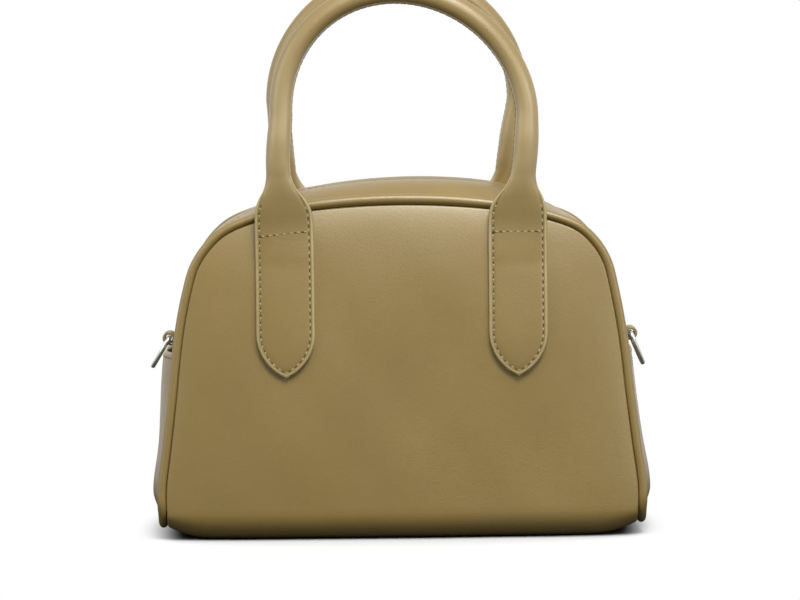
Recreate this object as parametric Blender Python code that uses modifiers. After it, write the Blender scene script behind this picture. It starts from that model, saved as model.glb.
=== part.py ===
"""A small dome-shaped top-handle bag, about 24 cm wide, in smooth khaki leather-like sheet.

The front faces -Y, the width runs along X, and the bag stands on z = 0 at its middle.
Each half, front and back, is a domed panel with piping, a strip of the top gusset, a zip
tape and a rolled handle on two pointed tabs. A wrap makes the lower front, the base and
the lower back in one sheet, and a lower gusset closes each side, with a ring on a loop.
"""

import math

import bmesh
import bpy
import numpy as np

# Clearance between pieces that touch
gap = 0.0003

# Front and back panels: half width at the widest, height of the apex and the crown's arc
panel_half_width = 0.1152
panel_height = 0.1626
crown_radius = 0.385
crown_span_share = 0.425
crown_half_span = crown_span_share * panel_half_width
base_half_depth = 0.052
top_half_depth = 0.044
panel_bulge = 0.005
leather = 0.002

# Right half of the panel's outline, base to crown: shares of half width and of height
outline_shares = (
    (0.983, 0.000),
    (0.998, 0.075),
    (1.000, 0.155),
    (0.976, 0.289),
    (0.952, 0.430),
    (0.932, 0.560),
    (0.911, 0.658),
    (0.885, 0.744),
    (0.856, 0.812),
    (0.807, 0.867),
    (0.738, 0.913),
    (0.642, 0.944),
    (0.520, 0.968),
)
shoulder_share = 0.867
side_power = 4.0
crown_power = 5.0

# The line where the upper halves bend outwards when the zip is open
bend_height = 0.072
bend_slit = 0.0004

# Base: corner radius, lift of its short side edges, and the share of the width lying flat
base_radius = 0.013
edge_lift = 0.0045
flat_base_share = 0.85

# Piping: radius of the cord, and how far its centre sits behind the panel's face
piping_radius = 0.0026
piping_set = 0.001

# Lower side gussets
gusset_sheet = 0.0018
gusset_top = 0.091
gusset_bulge = 0.0034
gusset_swell = 0.0012
swell_height = 0.022
swell_reach = 0.020
gusset_tuck = 0.012
gusset_power = 2.5
gusset_row_power = 1.6
edge_rise = 0.0006

# Top gusset strips: distance outside the outline at the crown and at the sides
strip_sheet = 0.0018
strip_control_top = 0.0186
strip_control_side = 0.0040
strip_end_top = 0.008
strip_end_side = 0.0030
strip_fade_power = 1.2
strip_full_margin = 0.012
strip_low_share = 0.8
strip_start = 0.0011
strip_lowest = gusset_top + strip_start

# Zip: half width of the slot between the strips, tapes, rows and slider
slot_half_width = 0.005
tape_thickness = 0.0008
tape_under_strip = 0.006
row_width = 0.0024
row_height = 0.0022
rows_apart = 0.001
slider_length = 0.009
slider_width = 0.008
slider_plate = 0.0012
slider_post = 0.0004
slider_post_length = 0.003
slider_inset = 0.005
slider_at = crown_half_span - slider_inset
bail_length = 0.0052
bail_height = 0.0026
bail_wire = 0.0009
puller_length = 0.020
puller_width = 0.005
puller_thickness = 0.001
puller_slot_length = 0.0036
puller_bar = 0.001

# Handles: rolled tube, flared necks and the flat tabs sewn to the panels
handle_centre = 0.0597
handle_radius = 0.0056
leg_radius = 0.0062
handle_leg = 0.0418
handle_lean = math.radians(4.0)
neck_height = 0.012
neck_half_width = 0.0114
neck_half_thickness = 0.0013
tube_height = 0.020
spread_start = 0.006
spread_end = 0.016
neck_shares = (0.0, 0.12, 0.25, 0.5, 0.75, 1.0)
neck_end_angles = (math.radians(80.0), math.radians(45.0))
strap_square_share = 0.62
pivot_rise = 0.0034
pivot_height = panel_height + pivot_rise
tab_centre = 0.0565
tab_half_width = 0.0142
tab_narrowing = 0.0028
tab_narrow_height = 0.0105
tab_narrow_power = 2.4
tab_thickness = 0.0024
tab_length = 0.0866
tab_tip = pivot_height - tab_length
tab_tip_length = 0.021
tab_tip_shares = (0.0, 0.15, 0.4, 0.7, 1.0)
tab_nose = 0.0004
tab_rise_start = 0.025
tab_rise_end = 0.012

# Rings at the sides and the leather loops that hold them
ring_wire = 0.0012
ring_half_length = 0.0087
ring_drop = 0.0163
ring_corner = 0.0022
ring_rise = 0.0045
ring_height = gusset_top + ring_rise
ring_outside = 0.0079
ring_angle = math.radians(25.0)
loop_sheet = 0.0015
loop_half_width = 0.006
loop_tail_length = 0.011
loop_tail_low = gusset_top - loop_tail_length
loop_angles = (math.radians(-70.0), math.radians(222.0))
loop_seat = 0.0005

# Inner pieces
board_thickness = 0.0016
board_half_length = 0.092
board_half_depth = 0.036
lining_sheet = 0.0008
lining_edge_inset = 0.0036

# Colours, roughness and metallic value of each material
khaki = ((0.296, 0.216, 0.080), 0.42, 0.0)
khaki_dark = ((0.255, 0.186, 0.070), 0.45, 0.0)
lining_cloth = ((0.210, 0.165, 0.090), 0.85, 0.0)
tape_cloth = ((0.225, 0.170, 0.075), 0.80, 0.0)
nickel = ((0.780, 0.770, 0.750), 0.18, 1.0)
board_grey = ((0.180, 0.170, 0.155), 0.90, 0.0)


def clear_scene():
    """Removes every object that the file starts with."""
    for obj in list(bpy.data.objects):
        bpy.data.objects.remove(obj)


def make_collection(name):
    """A collection in the scene, made once."""
    collection = bpy.data.collections.new(name)
    bpy.context.scene.collection.children.link(collection)
    return collection


def make_material(name, look):
    """A Principled material with the colour, roughness and metallic value of look."""
    colour, roughness, metallic = look
    material = bpy.data.materials.new(name)
    material.use_nodes = True
    shader = material.node_tree.nodes["Principled BSDF"]
    shader.inputs["Base Color"].default_value = (*colour, 1.0)
    shader.inputs["Roughness"].default_value = roughness
    shader.inputs["Metallic"].default_value = metallic
    material.diffuse_color = (*colour, 1.0)
    return material


def smoothstep(value, low, high):
    """0 up to low, 1 from high on, and a smooth rise between."""
    share = np.clip((value - low) / (high - low), 0.0, 1.0)
    return share * share * (3.0 - 2.0 * share)


def through_points(points, steps):
    """A Catmull-Rom curve through the points, with steps pieces to each span."""
    points = np.asarray(points, float)
    first = 2.0 * points[0] - points[1]
    last = 2.0 * points[-1] - points[-2]
    padded = np.vstack([first, points, last])
    share = np.arange(steps)[:, None] / steps
    spans = []
    for a, b, c, d in zip(padded, padded[1:], padded[2:], padded[3:]):
        spans.append(
            0.5
            * (
                2.0 * b
                + (c - a) * share
                + (2.0 * a - 5.0 * b + 4.0 * c - d) * share**2
                + (3.0 * b - a - 3.0 * c + d) * share**3
            )
        )
    return np.vstack(spans + [points[-1:]])


def make_half_outline():
    """Points of the outline's right half in x and z, from the base up to the apex."""
    centre = panel_height - crown_radius
    turn = math.asin(crown_half_span / crown_radius)
    angles = np.linspace(turn, 0.0, 12)
    crown = np.column_stack(
        [crown_radius * np.sin(angles), centre + crown_radius * np.cos(angles)]
    )
    shares = np.array(outline_shares)
    side = shares * [panel_half_width, panel_height]
    curve = through_points(np.vstack([side, crown[:2]]), 10)
    below_crown = curve[: 10 * len(side)]
    return np.vstack([below_crown, crown])


half_outline = make_half_outline()


def half_width(z):
    """Half the panel's width at height z, up to the shoulder and over it."""
    return np.maximum(np.interp(z, half_outline[:, 1], half_outline[:, 0]), gap)


def side_width(z):
    """Half the width at height z, with straight sides below the base's soft round."""
    return half_width(np.maximum(z, base_radius))


def crown_height(x):
    """Height of the panel's upper edge at distance x from the middle."""
    upper = half_outline[half_outline[:, 1] > bend_height]
    return np.interp(np.abs(x), upper[::-1, 0], upper[::-1, 1])


def half_depth(z):
    """Distance of the seams from the middle plane, less towards the top."""
    return base_half_depth + (top_half_depth - base_half_depth) * z / panel_height


def bulge(x, z):
    """How far a panel stands proud of its seams at a place."""
    across = 1.0 - np.clip(np.abs(x) / half_width(z), 0.0, 1.0) ** side_power
    up = 1.0 - np.clip(z / crown_height(x), 0.0, 1.0) ** crown_power
    return panel_bulge * across * up


def arch_frames(lowest, count, outside=0.0):
    """Places and outward normals over the arch, left to right, from one height."""
    right = half_outline[half_outline[:, 1] >= lowest]
    start = np.array([[half_width(lowest), lowest]])
    right = np.vstack([start, right])
    left = right * [-1.0, 1.0]
    path = np.vstack([left, right[::-1][1:]])
    lengths = np.concatenate([[0.0], np.cumsum(np.hypot(*np.diff(path, axis=0).T))])
    places = np.linspace(0.0, lengths[-1], count)
    points = np.column_stack([np.interp(places, lengths, path[:, i]) for i in (0, 1)])
    ahead = np.gradient(points, axis=0)
    ahead /= np.linalg.norm(ahead, axis=1)[:, None]
    normals = np.column_stack([-ahead[:, 1], ahead[:, 0]])
    return points + outside * normals, normals


def add_object(name, mesh, material, parent=None):
    """An object in the bag's collection, smooth shaded, under its parent if it has one."""
    obj = bpy.data.objects.new(name, mesh)
    bag.objects.link(obj)
    obj.data.materials.append(material)
    if parent:
        obj.parent = parent
        obj.matrix_parent_inverse = parent.matrix_world.inverted()
    return obj


def add_pivot(name, place, parent=None):
    """An empty on a joint's axis, which the moving pieces hang on."""
    pivot = bpy.data.objects.new(name, None)
    bag.objects.link(pivot)
    pivot.empty_display_size = ring_drop
    pivot.location = place
    if parent:
        pivot.parent = parent
        pivot.location = np.array(place) - np.array(parent.matrix_world.translation)
    bpy.context.view_layer.update()
    return pivot


def grid_faces(rows, columns, flip):
    """Quads of a grid whose points are stored row after row."""
    faces = []
    for i in range(rows - 1):
        for j in range(columns - 1):
            a = i * columns + j
            quad = (a, a + 1, a + columns + 1, a + columns)
            faces.append(quad[::-1] if flip else quad)
    return faces


def add_sheet(name, grid, thickness, material, parent=None, flip=False):
    """A leather or cloth sheet: an open grid of outer points, solidified inwards."""
    rows, columns = grid.shape[:2]
    mesh = bpy.data.meshes.new(name)
    mesh.from_pydata(grid.reshape(-1, 3).tolist(), [], grid_faces(rows, columns, flip))
    mesh.shade_smooth()
    obj = add_object(name, mesh, material, parent)
    wall = obj.modifiers.new("sheet", "SOLIDIFY")
    wall.thickness = thickness
    wall.offset = -1.0
    wall.use_even_offset = True
    wall.use_rim = True
    return obj


def add_loft(name, rings, material, parent=None):
    """A solid through closed rings of points, with its two ends capped."""
    count, around = rings.shape[:2]
    faces = []
    for i in range(count - 1):
        for j in range(around):
            k = (j + 1) % around
            faces.append(
                (i * around + j, i * around + k, (i + 1) * around + k, (i + 1) * around + j)
            )
    faces.append(tuple(range(around))[::-1])
    faces.append(tuple((count - 1) * around + j for j in range(around)))
    mesh = bpy.data.meshes.new(name)
    mesh.from_pydata(rings.reshape(-1, 3).tolist(), [], faces)
    work = bmesh.new()
    work.from_mesh(mesh)
    bmesh.ops.recalc_face_normals(work, faces=work.faces)
    work.to_mesh(mesh)
    work.free()
    mesh.shade_smooth()
    mesh.set_sharp_from_angle(angle=math.radians(40.0))
    return add_object(name, mesh, material, parent)


def add_cord(name, points, radius, material, parent=None, cyclic=False, resolution=1):
    """A round cord or wire: a curve through the points, with filled ends."""
    curve = bpy.data.curves.new(name, "CURVE")
    curve.dimensions = "3D"
    curve.bevel_depth = radius
    curve.bevel_resolution = resolution
    curve.use_fill_caps = not cyclic
    spline = curve.splines.new("POLY")
    spline.points.add(len(points) - 1)
    for place, point in zip(spline.points, points):
        place.co = (*point, 1.0)
    spline.use_cyclic_u = cyclic
    spline.use_smooth = True
    return add_object(name, curve, material, parent)


def coons(bottom, top, left, right):
    """A grid filled between four boundary curves that share their corners."""
    across = np.linspace(0.0, 1.0, len(bottom))[None, :, None]
    up = np.linspace(0.0, 1.0, len(left))[:, None, None]
    ruled_up = (1.0 - up) * bottom[None] + up * top[None]
    ruled_across = (1.0 - across) * left[:, None] + across * right[:, None]
    corners = (
        (1.0 - up) * ((1.0 - across) * bottom[0] + across * bottom[-1])
        + up * ((1.0 - across) * top[0] + across * top[-1])
    )
    return ruled_up + ruled_across - corners


def resample(points, count):
    """The same path with count points, evenly spaced along it."""
    lengths = np.concatenate([[0.0], np.cumsum(np.hypot(*np.diff(points, axis=0).T))])
    places = np.linspace(0.0, lengths[-1], count)
    return np.column_stack([np.interp(places, lengths, points[:, i]) for i in (0, 1)])


def dome_grid(lowest, inset, across, up):
    """Places in x and z that fill the dome above one height, set in from its outline."""
    path, _ = arch_frames(lowest, 241, -inset)
    path[[0, -1], 1] = lowest
    shoulder_height = shoulder_share * panel_height - inset
    turn = int(np.argmax(path[:, 1] > shoulder_height))
    left = resample(path[: turn + 1], up)
    right = left * [-1.0, 1.0]
    top = resample(path[turn : len(path) - turn], across)
    bottom = np.column_stack(
        [np.linspace(path[0, 0], path[-1, 0], across), np.full(across, lowest)]
    )
    return coons(bottom, top, left, right)


def panel_points(flat, inset, side):
    """Points of a panel's outer face over places in x and z. side is -1 at the front."""
    x, z = flat[..., 0], flat[..., 1]
    y = side * (half_depth(z) + bulge(x, z) - inset)
    return np.stack([x, y, z], axis=-1)


def wrap_grid(across, wall_rows, wall_inset, floor_inset, side_inset, top):
    """The wrap's outer face: down the front, under the base and up the back."""
    radius = base_radius - wall_inset
    shares = np.sin(np.linspace(-math.pi / 2.0, math.pi / 2.0, across))
    lifted = np.clip((np.abs(shares) - flat_base_share) / (1.0 - flat_base_share), 0.0, 1.0)
    floor = edge_lift * lifted**2 + floor_inset
    rows = []
    for z in np.linspace(top, base_radius + floor_inset, wall_rows, endpoint=False):
        x = shares * (side_width(z) - side_inset)
        rows.append(np.stack([x, wall_inset - half_depth(z) - bulge(x, z), x * 0.0 + z], -1))
    wall_end = base_radius + floor_inset
    x = shares * (side_width(base_radius) - side_inset)
    wall = half_depth(wall_end) + bulge(x, wall_end) - wall_inset
    for angle in np.linspace(0.0, math.pi / 2.0, 5):
        drop = wall_end - floor
        z = floor + drop * (1.0 - math.sin(angle))
        y = -wall + radius * (1.0 - math.cos(angle))
        rows.append(np.stack([x, y, z], -1))
    front = np.array(rows)
    edge = front[-1, :, 1]
    under = []
    for share in (1.0 / 3.0, 0.0):
        under.append(np.stack([x, edge * share, floor], -1))
    half = np.concatenate([front, under])
    back = half[::-1][1:] * [1.0, -1.0, 1.0]
    return np.concatenate([half, back])


def gusset_grid(side, inset, across, up, top):
    """A lower side gusset: columns from the base's edge up to its top, bulging out."""
    reach = piping_set + piping_radius + gap
    lowest = edge_lift + reach + inset
    corner = base_radius - reach
    shares = np.sin(np.linspace(-math.pi / 2.0, math.pi / 2.0, across))
    deepest = half_depth(lowest + corner) - reach - piping_set - inset
    y = shares * deepest
    past = np.clip(np.abs(y) - (deepest - corner), 0.0, corner)
    bottom = lowest + corner - np.sqrt(corner**2 - past**2)
    rise = np.linspace(0.0, 1.0, up)[:, None] ** gusset_row_power
    z = bottom + rise * (top - bottom)
    narrowing = (half_depth(z) - half_depth(lowest + corner)) * np.abs(shares)
    y = y + np.sign(shares) * narrowing
    crowned = 1.0 - np.abs(shares) ** gusset_power
    swell = gusset_swell * np.exp(-(((z - swell_height) / swell_reach) ** 2))
    tuck = np.sin(np.clip((z - bottom) / gusset_tuck, 0.0, 1.0) * math.pi / 2.0)
    x = side_width(z) + piping_radius + gap + edge_rise
    x = x + (gusset_bulge + swell) * crowned * tuck - inset
    return np.stack([side * x, y, z], axis=-1)


def strip_heights(path):
    """Distances outside the outline of a strip's control line and of its zip edge."""
    full = crown_half_span + strip_full_margin
    low = strip_low_share * panel_half_width
    fade = np.clip((low - np.abs(path[:, 0])) / (low - full), 0.0, 1.0) ** strip_fade_power
    control = strip_control_side + (strip_control_top - strip_control_side) * fade
    end = strip_end_side + (strip_end_top - strip_end_side) * fade
    return control, end


def strip_grid(side, along, across):
    """A strip of the top gusset, from the piping up to its crown and down to the zip."""
    path, normals = arch_frames(strip_lowest, along)
    control, end = strip_heights(path)
    start = piping_radius + gap + edge_rise
    outer = half_depth(path[:, 1]) - piping_set - piping_radius - gap
    share = np.linspace(0.0, 1.0, across)[None, :]
    out = (
        start * (1.0 - share) ** 2
        + 2.0 * control[:, None] * share * (1.0 - share)
        + end[:, None] * share**2
    )
    y = outer[:, None] * (1.0 - share) + slot_half_width * share
    x = path[:, 0][:, None] + normals[:, 0][:, None] * out
    z = path[:, 1][:, None] + normals[:, 1][:, None] * out
    return np.stack([x, side * y, z], axis=-1)


def tape_middle(end):
    """Distance outside the outline of the middle of a zip tape's thickness."""
    return end - strip_sheet - gap - tape_thickness / 2.0


def tape_rings(side, along):
    """A zip tape and its row of teeth as one section, carried over the arch."""
    path, normals = arch_frames(strip_lowest, along)
    _, end = strip_heights(path)
    middle = tape_middle(end)
    thin, thick = tape_thickness / 2.0, row_height / 2.0
    inner = rows_apart / 2.0
    root = inner + row_width
    outer = slot_half_width + tape_under_strip
    section = [(outer, -thin), (root, -thin), (root, -thick), (inner, -thick)]
    section += [(y, -n) for y, n in section[::-1]]
    rings = []
    for y, n in section:
        out = middle + n
        x = path[:, 0] + normals[:, 0] * out
        z = path[:, 1] + normals[:, 1] * out
        rings.append(np.stack([x, side * y + x * 0.0, z], axis=-1))
    return np.stack(rings, axis=1)


def spread(height):
    """How far a handle's leg stands outside its tab's middle at a height over the fold."""
    return (handle_centre - tab_centre) * smoothstep(height, -spread_start, spread_end)


def tab_grid(hand, side):
    """A handle tab's outer face, from its pointed tip up to the handle's fold."""
    top = pivot_height - neck_half_thickness - gap
    curved = tab_tip + tab_tip_length * np.array(tab_tip_shares)
    straight = np.linspace(tab_tip + tab_tip_length, top, 13)[1:]
    z = np.concatenate([curved, straight])
    sweep = (tab_half_width**2 + tab_tip_length**2) / (2.0 * tab_half_width)
    short = np.clip(tab_tip + tab_tip_length - z, 0.0, tab_tip_length)
    width = np.sqrt(sweep**2 - short**2) - (sweep - tab_half_width)
    width = np.maximum(width, tab_nose)
    risen = np.clip((z - pivot_height + tab_narrow_height) / tab_narrow_height, 0.0, 1.0)
    width = width - tab_narrowing * risen**tab_narrow_power
    middle = hand * (tab_centre + spread(z - pivot_height))
    shares = np.linspace(-1.0, 1.0, 5)[None, :]
    x = middle[:, None] + shares * width[:, None]
    z = z[:, None] + 0.0 * shares
    proud = piping_radius - piping_set
    risen = smoothstep(z, pivot_height - tab_rise_start, pivot_height - tab_rise_end)
    stand = bulge(x, np.minimum(z, panel_height)) * (1.0 - risen) + proud * risen
    y = side * (half_depth(z) + stand + gap + tab_thickness)
    return np.stack([x, y, z], axis=-1)


def fold_depth():
    """Distance from the middle plane of the line on which a handle folds."""
    proud = piping_radius - piping_set
    return half_depth(pivot_height) + proud + gap + tab_thickness / 2.0


def section_ring(half_wide, half_thick, square, around):
    """A closed ring: round at square 0, towards a flat strap's section at square 1."""
    angles = np.linspace(0.0, 2.0 * math.pi, around, endpoint=False)
    power = 1.0 - strap_square_share * square
    wide = half_wide * np.sign(np.cos(angles)) * np.abs(np.cos(angles)) ** power
    thick = half_thick * np.sign(np.sin(angles)) * np.abs(np.sin(angles)) ** power
    return wide, thick


def handle_rings(side):
    """Rings of a whole handle: neck, leg, half circle, leg and neck."""
    around = 12
    heights, wides, thicks, squares = [], [], [], []
    for angle in neck_end_angles:
        heights.append(-neck_half_thickness * math.sin(angle))
        wides.append(neck_half_width - neck_half_thickness * (1.0 - math.cos(angle)))
        thicks.append(neck_half_thickness * math.cos(angle))
        squares.append(1.0)
    for share in neck_shares:
        flare = (1.0 - share) ** 2
        heights.append(share * neck_height)
        wides.append(leg_radius + (neck_half_width - leg_radius) * flare)
        swell = smoothstep(share, 0.0, 1.0)
        thicks.append(neck_half_thickness + (leg_radius - neck_half_thickness) * swell)
        squares.append(1.0 - share)
    for height in (tube_height, (tube_height + handle_leg) / 2.0):
        taper = (height - neck_height) / (handle_leg - neck_height)
        heights.append(height)
        wides.append(leg_radius + (handle_radius - leg_radius) * taper)
        thicks.append(wides[-1])
        squares.append(0.0)
    rings = []
    outwards = np.array([1.0, 0.0, 0.0])
    lean = np.array([0.0, -side * math.sin(handle_lean), math.cos(handle_lean)])
    through = np.array([0.0, side * math.cos(handle_lean), math.sin(handle_lean)])
    fold = np.array([0.0, side * fold_depth(), pivot_height])
    for height, wide, thick, square in zip(heights, wides, thicks, squares):
        a, b = section_ring(wide, thick, square, around)
        middle = fold + outwards * (tab_centre + spread(height)) + lean * height
        rings.append(middle + a[:, None] * outwards + b[:, None] * through)
    centre = fold + lean * handle_leg
    a, b = section_ring(handle_radius, handle_radius, 0.0, around)
    arc = []
    for angle in np.linspace(0.0, math.pi, 17):
        ray = outwards * math.cos(angle) + lean * math.sin(angle)
        arc.append(centre + ray * handle_centre + a[:, None] * ray + b[:, None] * through)
    mirrored = [ring * [-1.0, 1.0, 1.0] for ring in rings[::-1]]
    return np.array(rings + arc + mirrored)


def ring_points():
    """The D-ring's wire, round a straight bar on its axis: along Y, and down."""
    points = []
    for angle in np.linspace(math.pi / 2.0, 0.0, 4):
        points.append(
            (
                ring_half_length - ring_corner + ring_corner * math.cos(angle),
                -ring_corner + ring_corner * math.sin(angle),
            )
        )
    for angle in np.linspace(0.0, math.pi, 13)[1:-1]:
        points.append(
            (
                ring_half_length * math.cos(angle),
                -ring_corner - (ring_drop - ring_corner) * math.sin(angle),
            )
        )
    for angle in np.linspace(math.pi, math.pi / 2.0, 4):
        points.append(
            (
                -ring_half_length + ring_corner + ring_corner * math.cos(angle),
                -ring_corner + ring_corner * math.sin(angle),
            )
        )
    return [(0.0, y, z) for y, z in points]


def ring_place(side):
    """The middle of the ring's bar at a side."""
    x = half_width(ring_height) + ring_outside
    return np.array([side * x, 0.0, ring_height])


def add_loop(name, side, material):
    """The folded leather loop: an eye round the ring's bar and a tail behind the gusset."""
    place = ring_place(side)
    eye = ring_wire + 2.0 * gap
    outer = eye + loop_sheet
    inside = half_width(gusset_top) + piping_radius + gap + edge_rise + gusset_bulge
    tail_outer = inside - gusset_sheet - loop_seat - place[0] * side
    tail_inner = tail_outer - 2.0 * loop_sheet
    tail_low = loop_tail_low - ring_height
    tail_high = gusset_top - ring_height - 2.0 * gap
    over_edge = gusset_top - ring_height + 2.0 * gap
    lean = half_width(loop_tail_low) - half_width(gusset_top)
    outline = [(tail_outer + lean, tail_low), (tail_outer, over_edge)]
    for angle in np.linspace(*loop_angles, 14):
        outline.append((outer * math.cos(angle), outer * math.sin(angle)))
    outline += [(tail_inner, tail_high), (tail_inner + lean, tail_low)]
    hole = []
    for angle in np.linspace(0.0, 2.0 * math.pi, 12, endpoint=False):
        hole.append((eye * math.cos(angle), eye * math.sin(angle)))
    curve = bpy.data.curves.new(name, "CURVE")
    curve.dimensions = "2D"
    curve.fill_mode = "BOTH"
    curve.extrude = loop_half_width
    for points in (outline, hole):
        spline = curve.splines.new("POLY")
        spline.points.add(len(points) - 1)
        for spot, (x, z) in zip(spline.points, points):
            spot.co = (side * x, z, 0.0, 1.0)
        spline.use_cyclic_u = True
    obj = add_object(name, curve, material)
    obj.location = place
    obj.rotation_euler = (math.pi / 2.0, 0.0, 0.0)
    return obj


def box_into(work, size, centre):
    """Adds a box of a size at a centre to a bmesh."""
    made = bmesh.ops.create_cube(work, size=1.0)
    bmesh.ops.scale(work, vec=size, verts=made["verts"])
    bmesh.ops.translate(work, vec=centre, verts=made["verts"])


def add_boxes(name, boxes, material, parent=None):
    """One solid from boxes that overlap, joined by Boolean unions."""
    pieces = []
    for k, (size, centre) in enumerate(boxes):
        mesh = bpy.data.meshes.new(f"{name}_box_{k}")
        work = bmesh.new()
        box_into(work, size, centre)
        work.to_mesh(mesh)
        work.free()
        pieces.append(mesh)
    obj = add_object(name, pieces[0], material, parent)
    for k, mesh in enumerate(pieces[1:]):
        helper = bpy.data.objects.new(mesh.name, mesh)
        cutters.objects.link(helper)
        helper.hide_render = True
        helper.display_type = "WIRE"
        helper.parent = obj
        union = obj.modifiers.new(f"join_{k}", "BOOLEAN")
        union.operation = "UNION"
        union.solver = "EXACT"
        union.object = helper
    return obj


def zip_arc_radius():
    """Radius of the middle of the zip's rows over the crown."""
    return crown_radius + tape_middle(strip_end_top)


def add_slider(parent_pivot):
    """The zip slider: plates over and under the rows, a thin post between, and a bail."""
    over = row_height / 2.0 + gap + slider_plate / 2.0
    plate = (slider_length, slider_width, slider_plate)
    post_height = 2.0 * over
    top = over + slider_plate / 2.0
    leg = (bail_wire, bail_wire, bail_height + slider_plate)
    leg_x = (bail_length - bail_wire) / 2.0
    leg_z = top + (bail_height - slider_plate) / 2.0
    bar_z = top + bail_height - bail_wire / 2.0
    boxes = [
        (plate, (0.0, 0.0, over)),
        (plate, (0.0, 0.0, -over)),
        ((slider_post_length, slider_post, post_height), (0.0, 0.0, 0.0)),
        (leg, (-leg_x, 0.0, leg_z)),
        (leg, (leg_x, 0.0, leg_z)),
        ((bail_length, bail_wire, bail_wire), (0.0, 0.0, bar_z)),
    ]
    slider = add_boxes("zip_slider", boxes, metal, parent_pivot)
    place_on_arc(slider)
    return slider


def slider_angle():
    """Angle of the slider from the apex, about the crown arc's centre."""
    return math.asin(slider_at / zip_arc_radius())


def place_on_arc(obj):
    """Sets an object on the zip's arc at the slider's place, turned with the arc."""
    angle = slider_angle()
    centre = panel_height - crown_radius
    x = zip_arc_radius() * math.sin(angle)
    z = centre + zip_arc_radius() * math.cos(angle)
    world = bpy.data.objects[obj.parent.name].matrix_world.translation
    obj.matrix_parent_inverse.identity()
    obj.location = (x - world[0], 0.0 - world[1], z - world[2])
    obj.rotation_euler = (0.0, angle, 0.0)


def puller_height():
    """Height of the puller's axis over the middle of the rows."""
    top = row_height / 2.0 + gap + slider_plate
    return top + gap + puller_thickness / 2.0


def add_puller(slider):
    """The puller: a flat plate with a slot that the slider's bail passes through."""
    bar_x = -puller_bar / 2.0
    slot_end = puller_bar / 2.0 + puller_slot_length
    slot_half = bail_wire / 2.0 + gap
    rail = (puller_width / 2.0) - slot_half
    rail_y = slot_half + rail / 2.0
    plate_length = puller_length - slot_end
    height = puller_height()
    rail_length = slot_end + puller_bar
    boxes = [
        ((puller_bar, puller_width, puller_thickness), (0.0, 0.0, height)),
        ((rail_length, rail, puller_thickness), (bar_x + rail_length / 2.0, rail_y, height)),
        ((rail_length, rail, puller_thickness), (bar_x + rail_length / 2.0, -rail_y, height)),
        (
            (plate_length, puller_width, puller_thickness),
            (slot_end + plate_length / 2.0, 0.0, height),
        ),
    ]
    puller = add_boxes("zip_puller", boxes, metal, slider)
    puller.matrix_parent_inverse.identity()
    return puller


def make_root_pieces():
    """The wrap, the gussets, the base board, the lower linings, loops and lower piping."""
    top = bend_height - bend_slit / 2.0
    wrap = wrap_grid(19, 4, 0.0, 0.0, 0.0, top)
    add_sheet("base_wrap", wrap, leather, skin, flip=True)
    floor = leather + 2.0 * gap + board_thickness
    lining = wrap_grid(13, 3, leather + gap, floor, lining_edge_inset, top)
    add_sheet("base_lining", lining, lining_sheet, cloth, flip=True)
    add_board()
    for side, word in ((-1.0, "left"), (1.0, "right")):
        flip = side > 0.0
        grid = gusset_grid(side, 0.0, 9, 8, gusset_top)
        add_sheet(f"{word}_gusset", grid, gusset_sheet, skin, flip=not flip)
        inset = gusset_sheet + 2.0 * loop_seat + 2.0 * loop_sheet
        grid = gusset_grid(side, inset, 7, 6, gusset_top)
        add_sheet(f"{word}_lining", grid, lining_sheet, cloth, flip=not flip)
        add_loop(f"{word}_ring_loop", side, skin)
        add_lower_piping(f"{word}_base_piping", side)


def add_board():
    """The stiff board between the wrap's base and the lining."""
    shares = np.linspace(-1.0, 1.0, 13)
    x = shares * board_half_length
    width = half_width(base_radius)
    lifted = np.clip((np.abs(x) / width - flat_base_share) / (1.0 - flat_base_share), 0.0, 1.0)
    z = edge_lift * lifted**2 + leather + gap + board_thickness
    rows = [np.stack([x, x * 0.0 + y, z], -1) for y in (-board_half_depth, board_half_depth)]
    add_sheet("base_board", np.array(rows), board_thickness, board_stuff)


def add_lower_piping(name, side):
    """Piping down the front's lower edge, back under the base's edge and up the back."""
    out = piping_radius + gap
    top = bend_height - bend_slit / 2.0
    path = []
    for z in np.linspace(top, base_radius + edge_lift, 5, endpoint=False):
        path.append((side * (side_width(z) + out), piping_set - half_depth(z), z))
    bend = base_radius - piping_set
    low = edge_lift + piping_set
    corner_y = half_depth(low + bend) - piping_set - bend
    for angle in np.linspace(0.0, math.pi / 2.0, 5):
        z = low + bend * (1.0 - math.sin(angle))
        y = -corner_y - bend * math.cos(angle)
        path.append((side * (side_width(z) + out), y, z))
    path.append((path[-1][0], 0.0, path[-1][2]))
    back = [(x, -y, z) for x, y, z in path[:-1]][::-1]
    add_cord(name, path + back, piping_radius, skin_trim)


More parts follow.
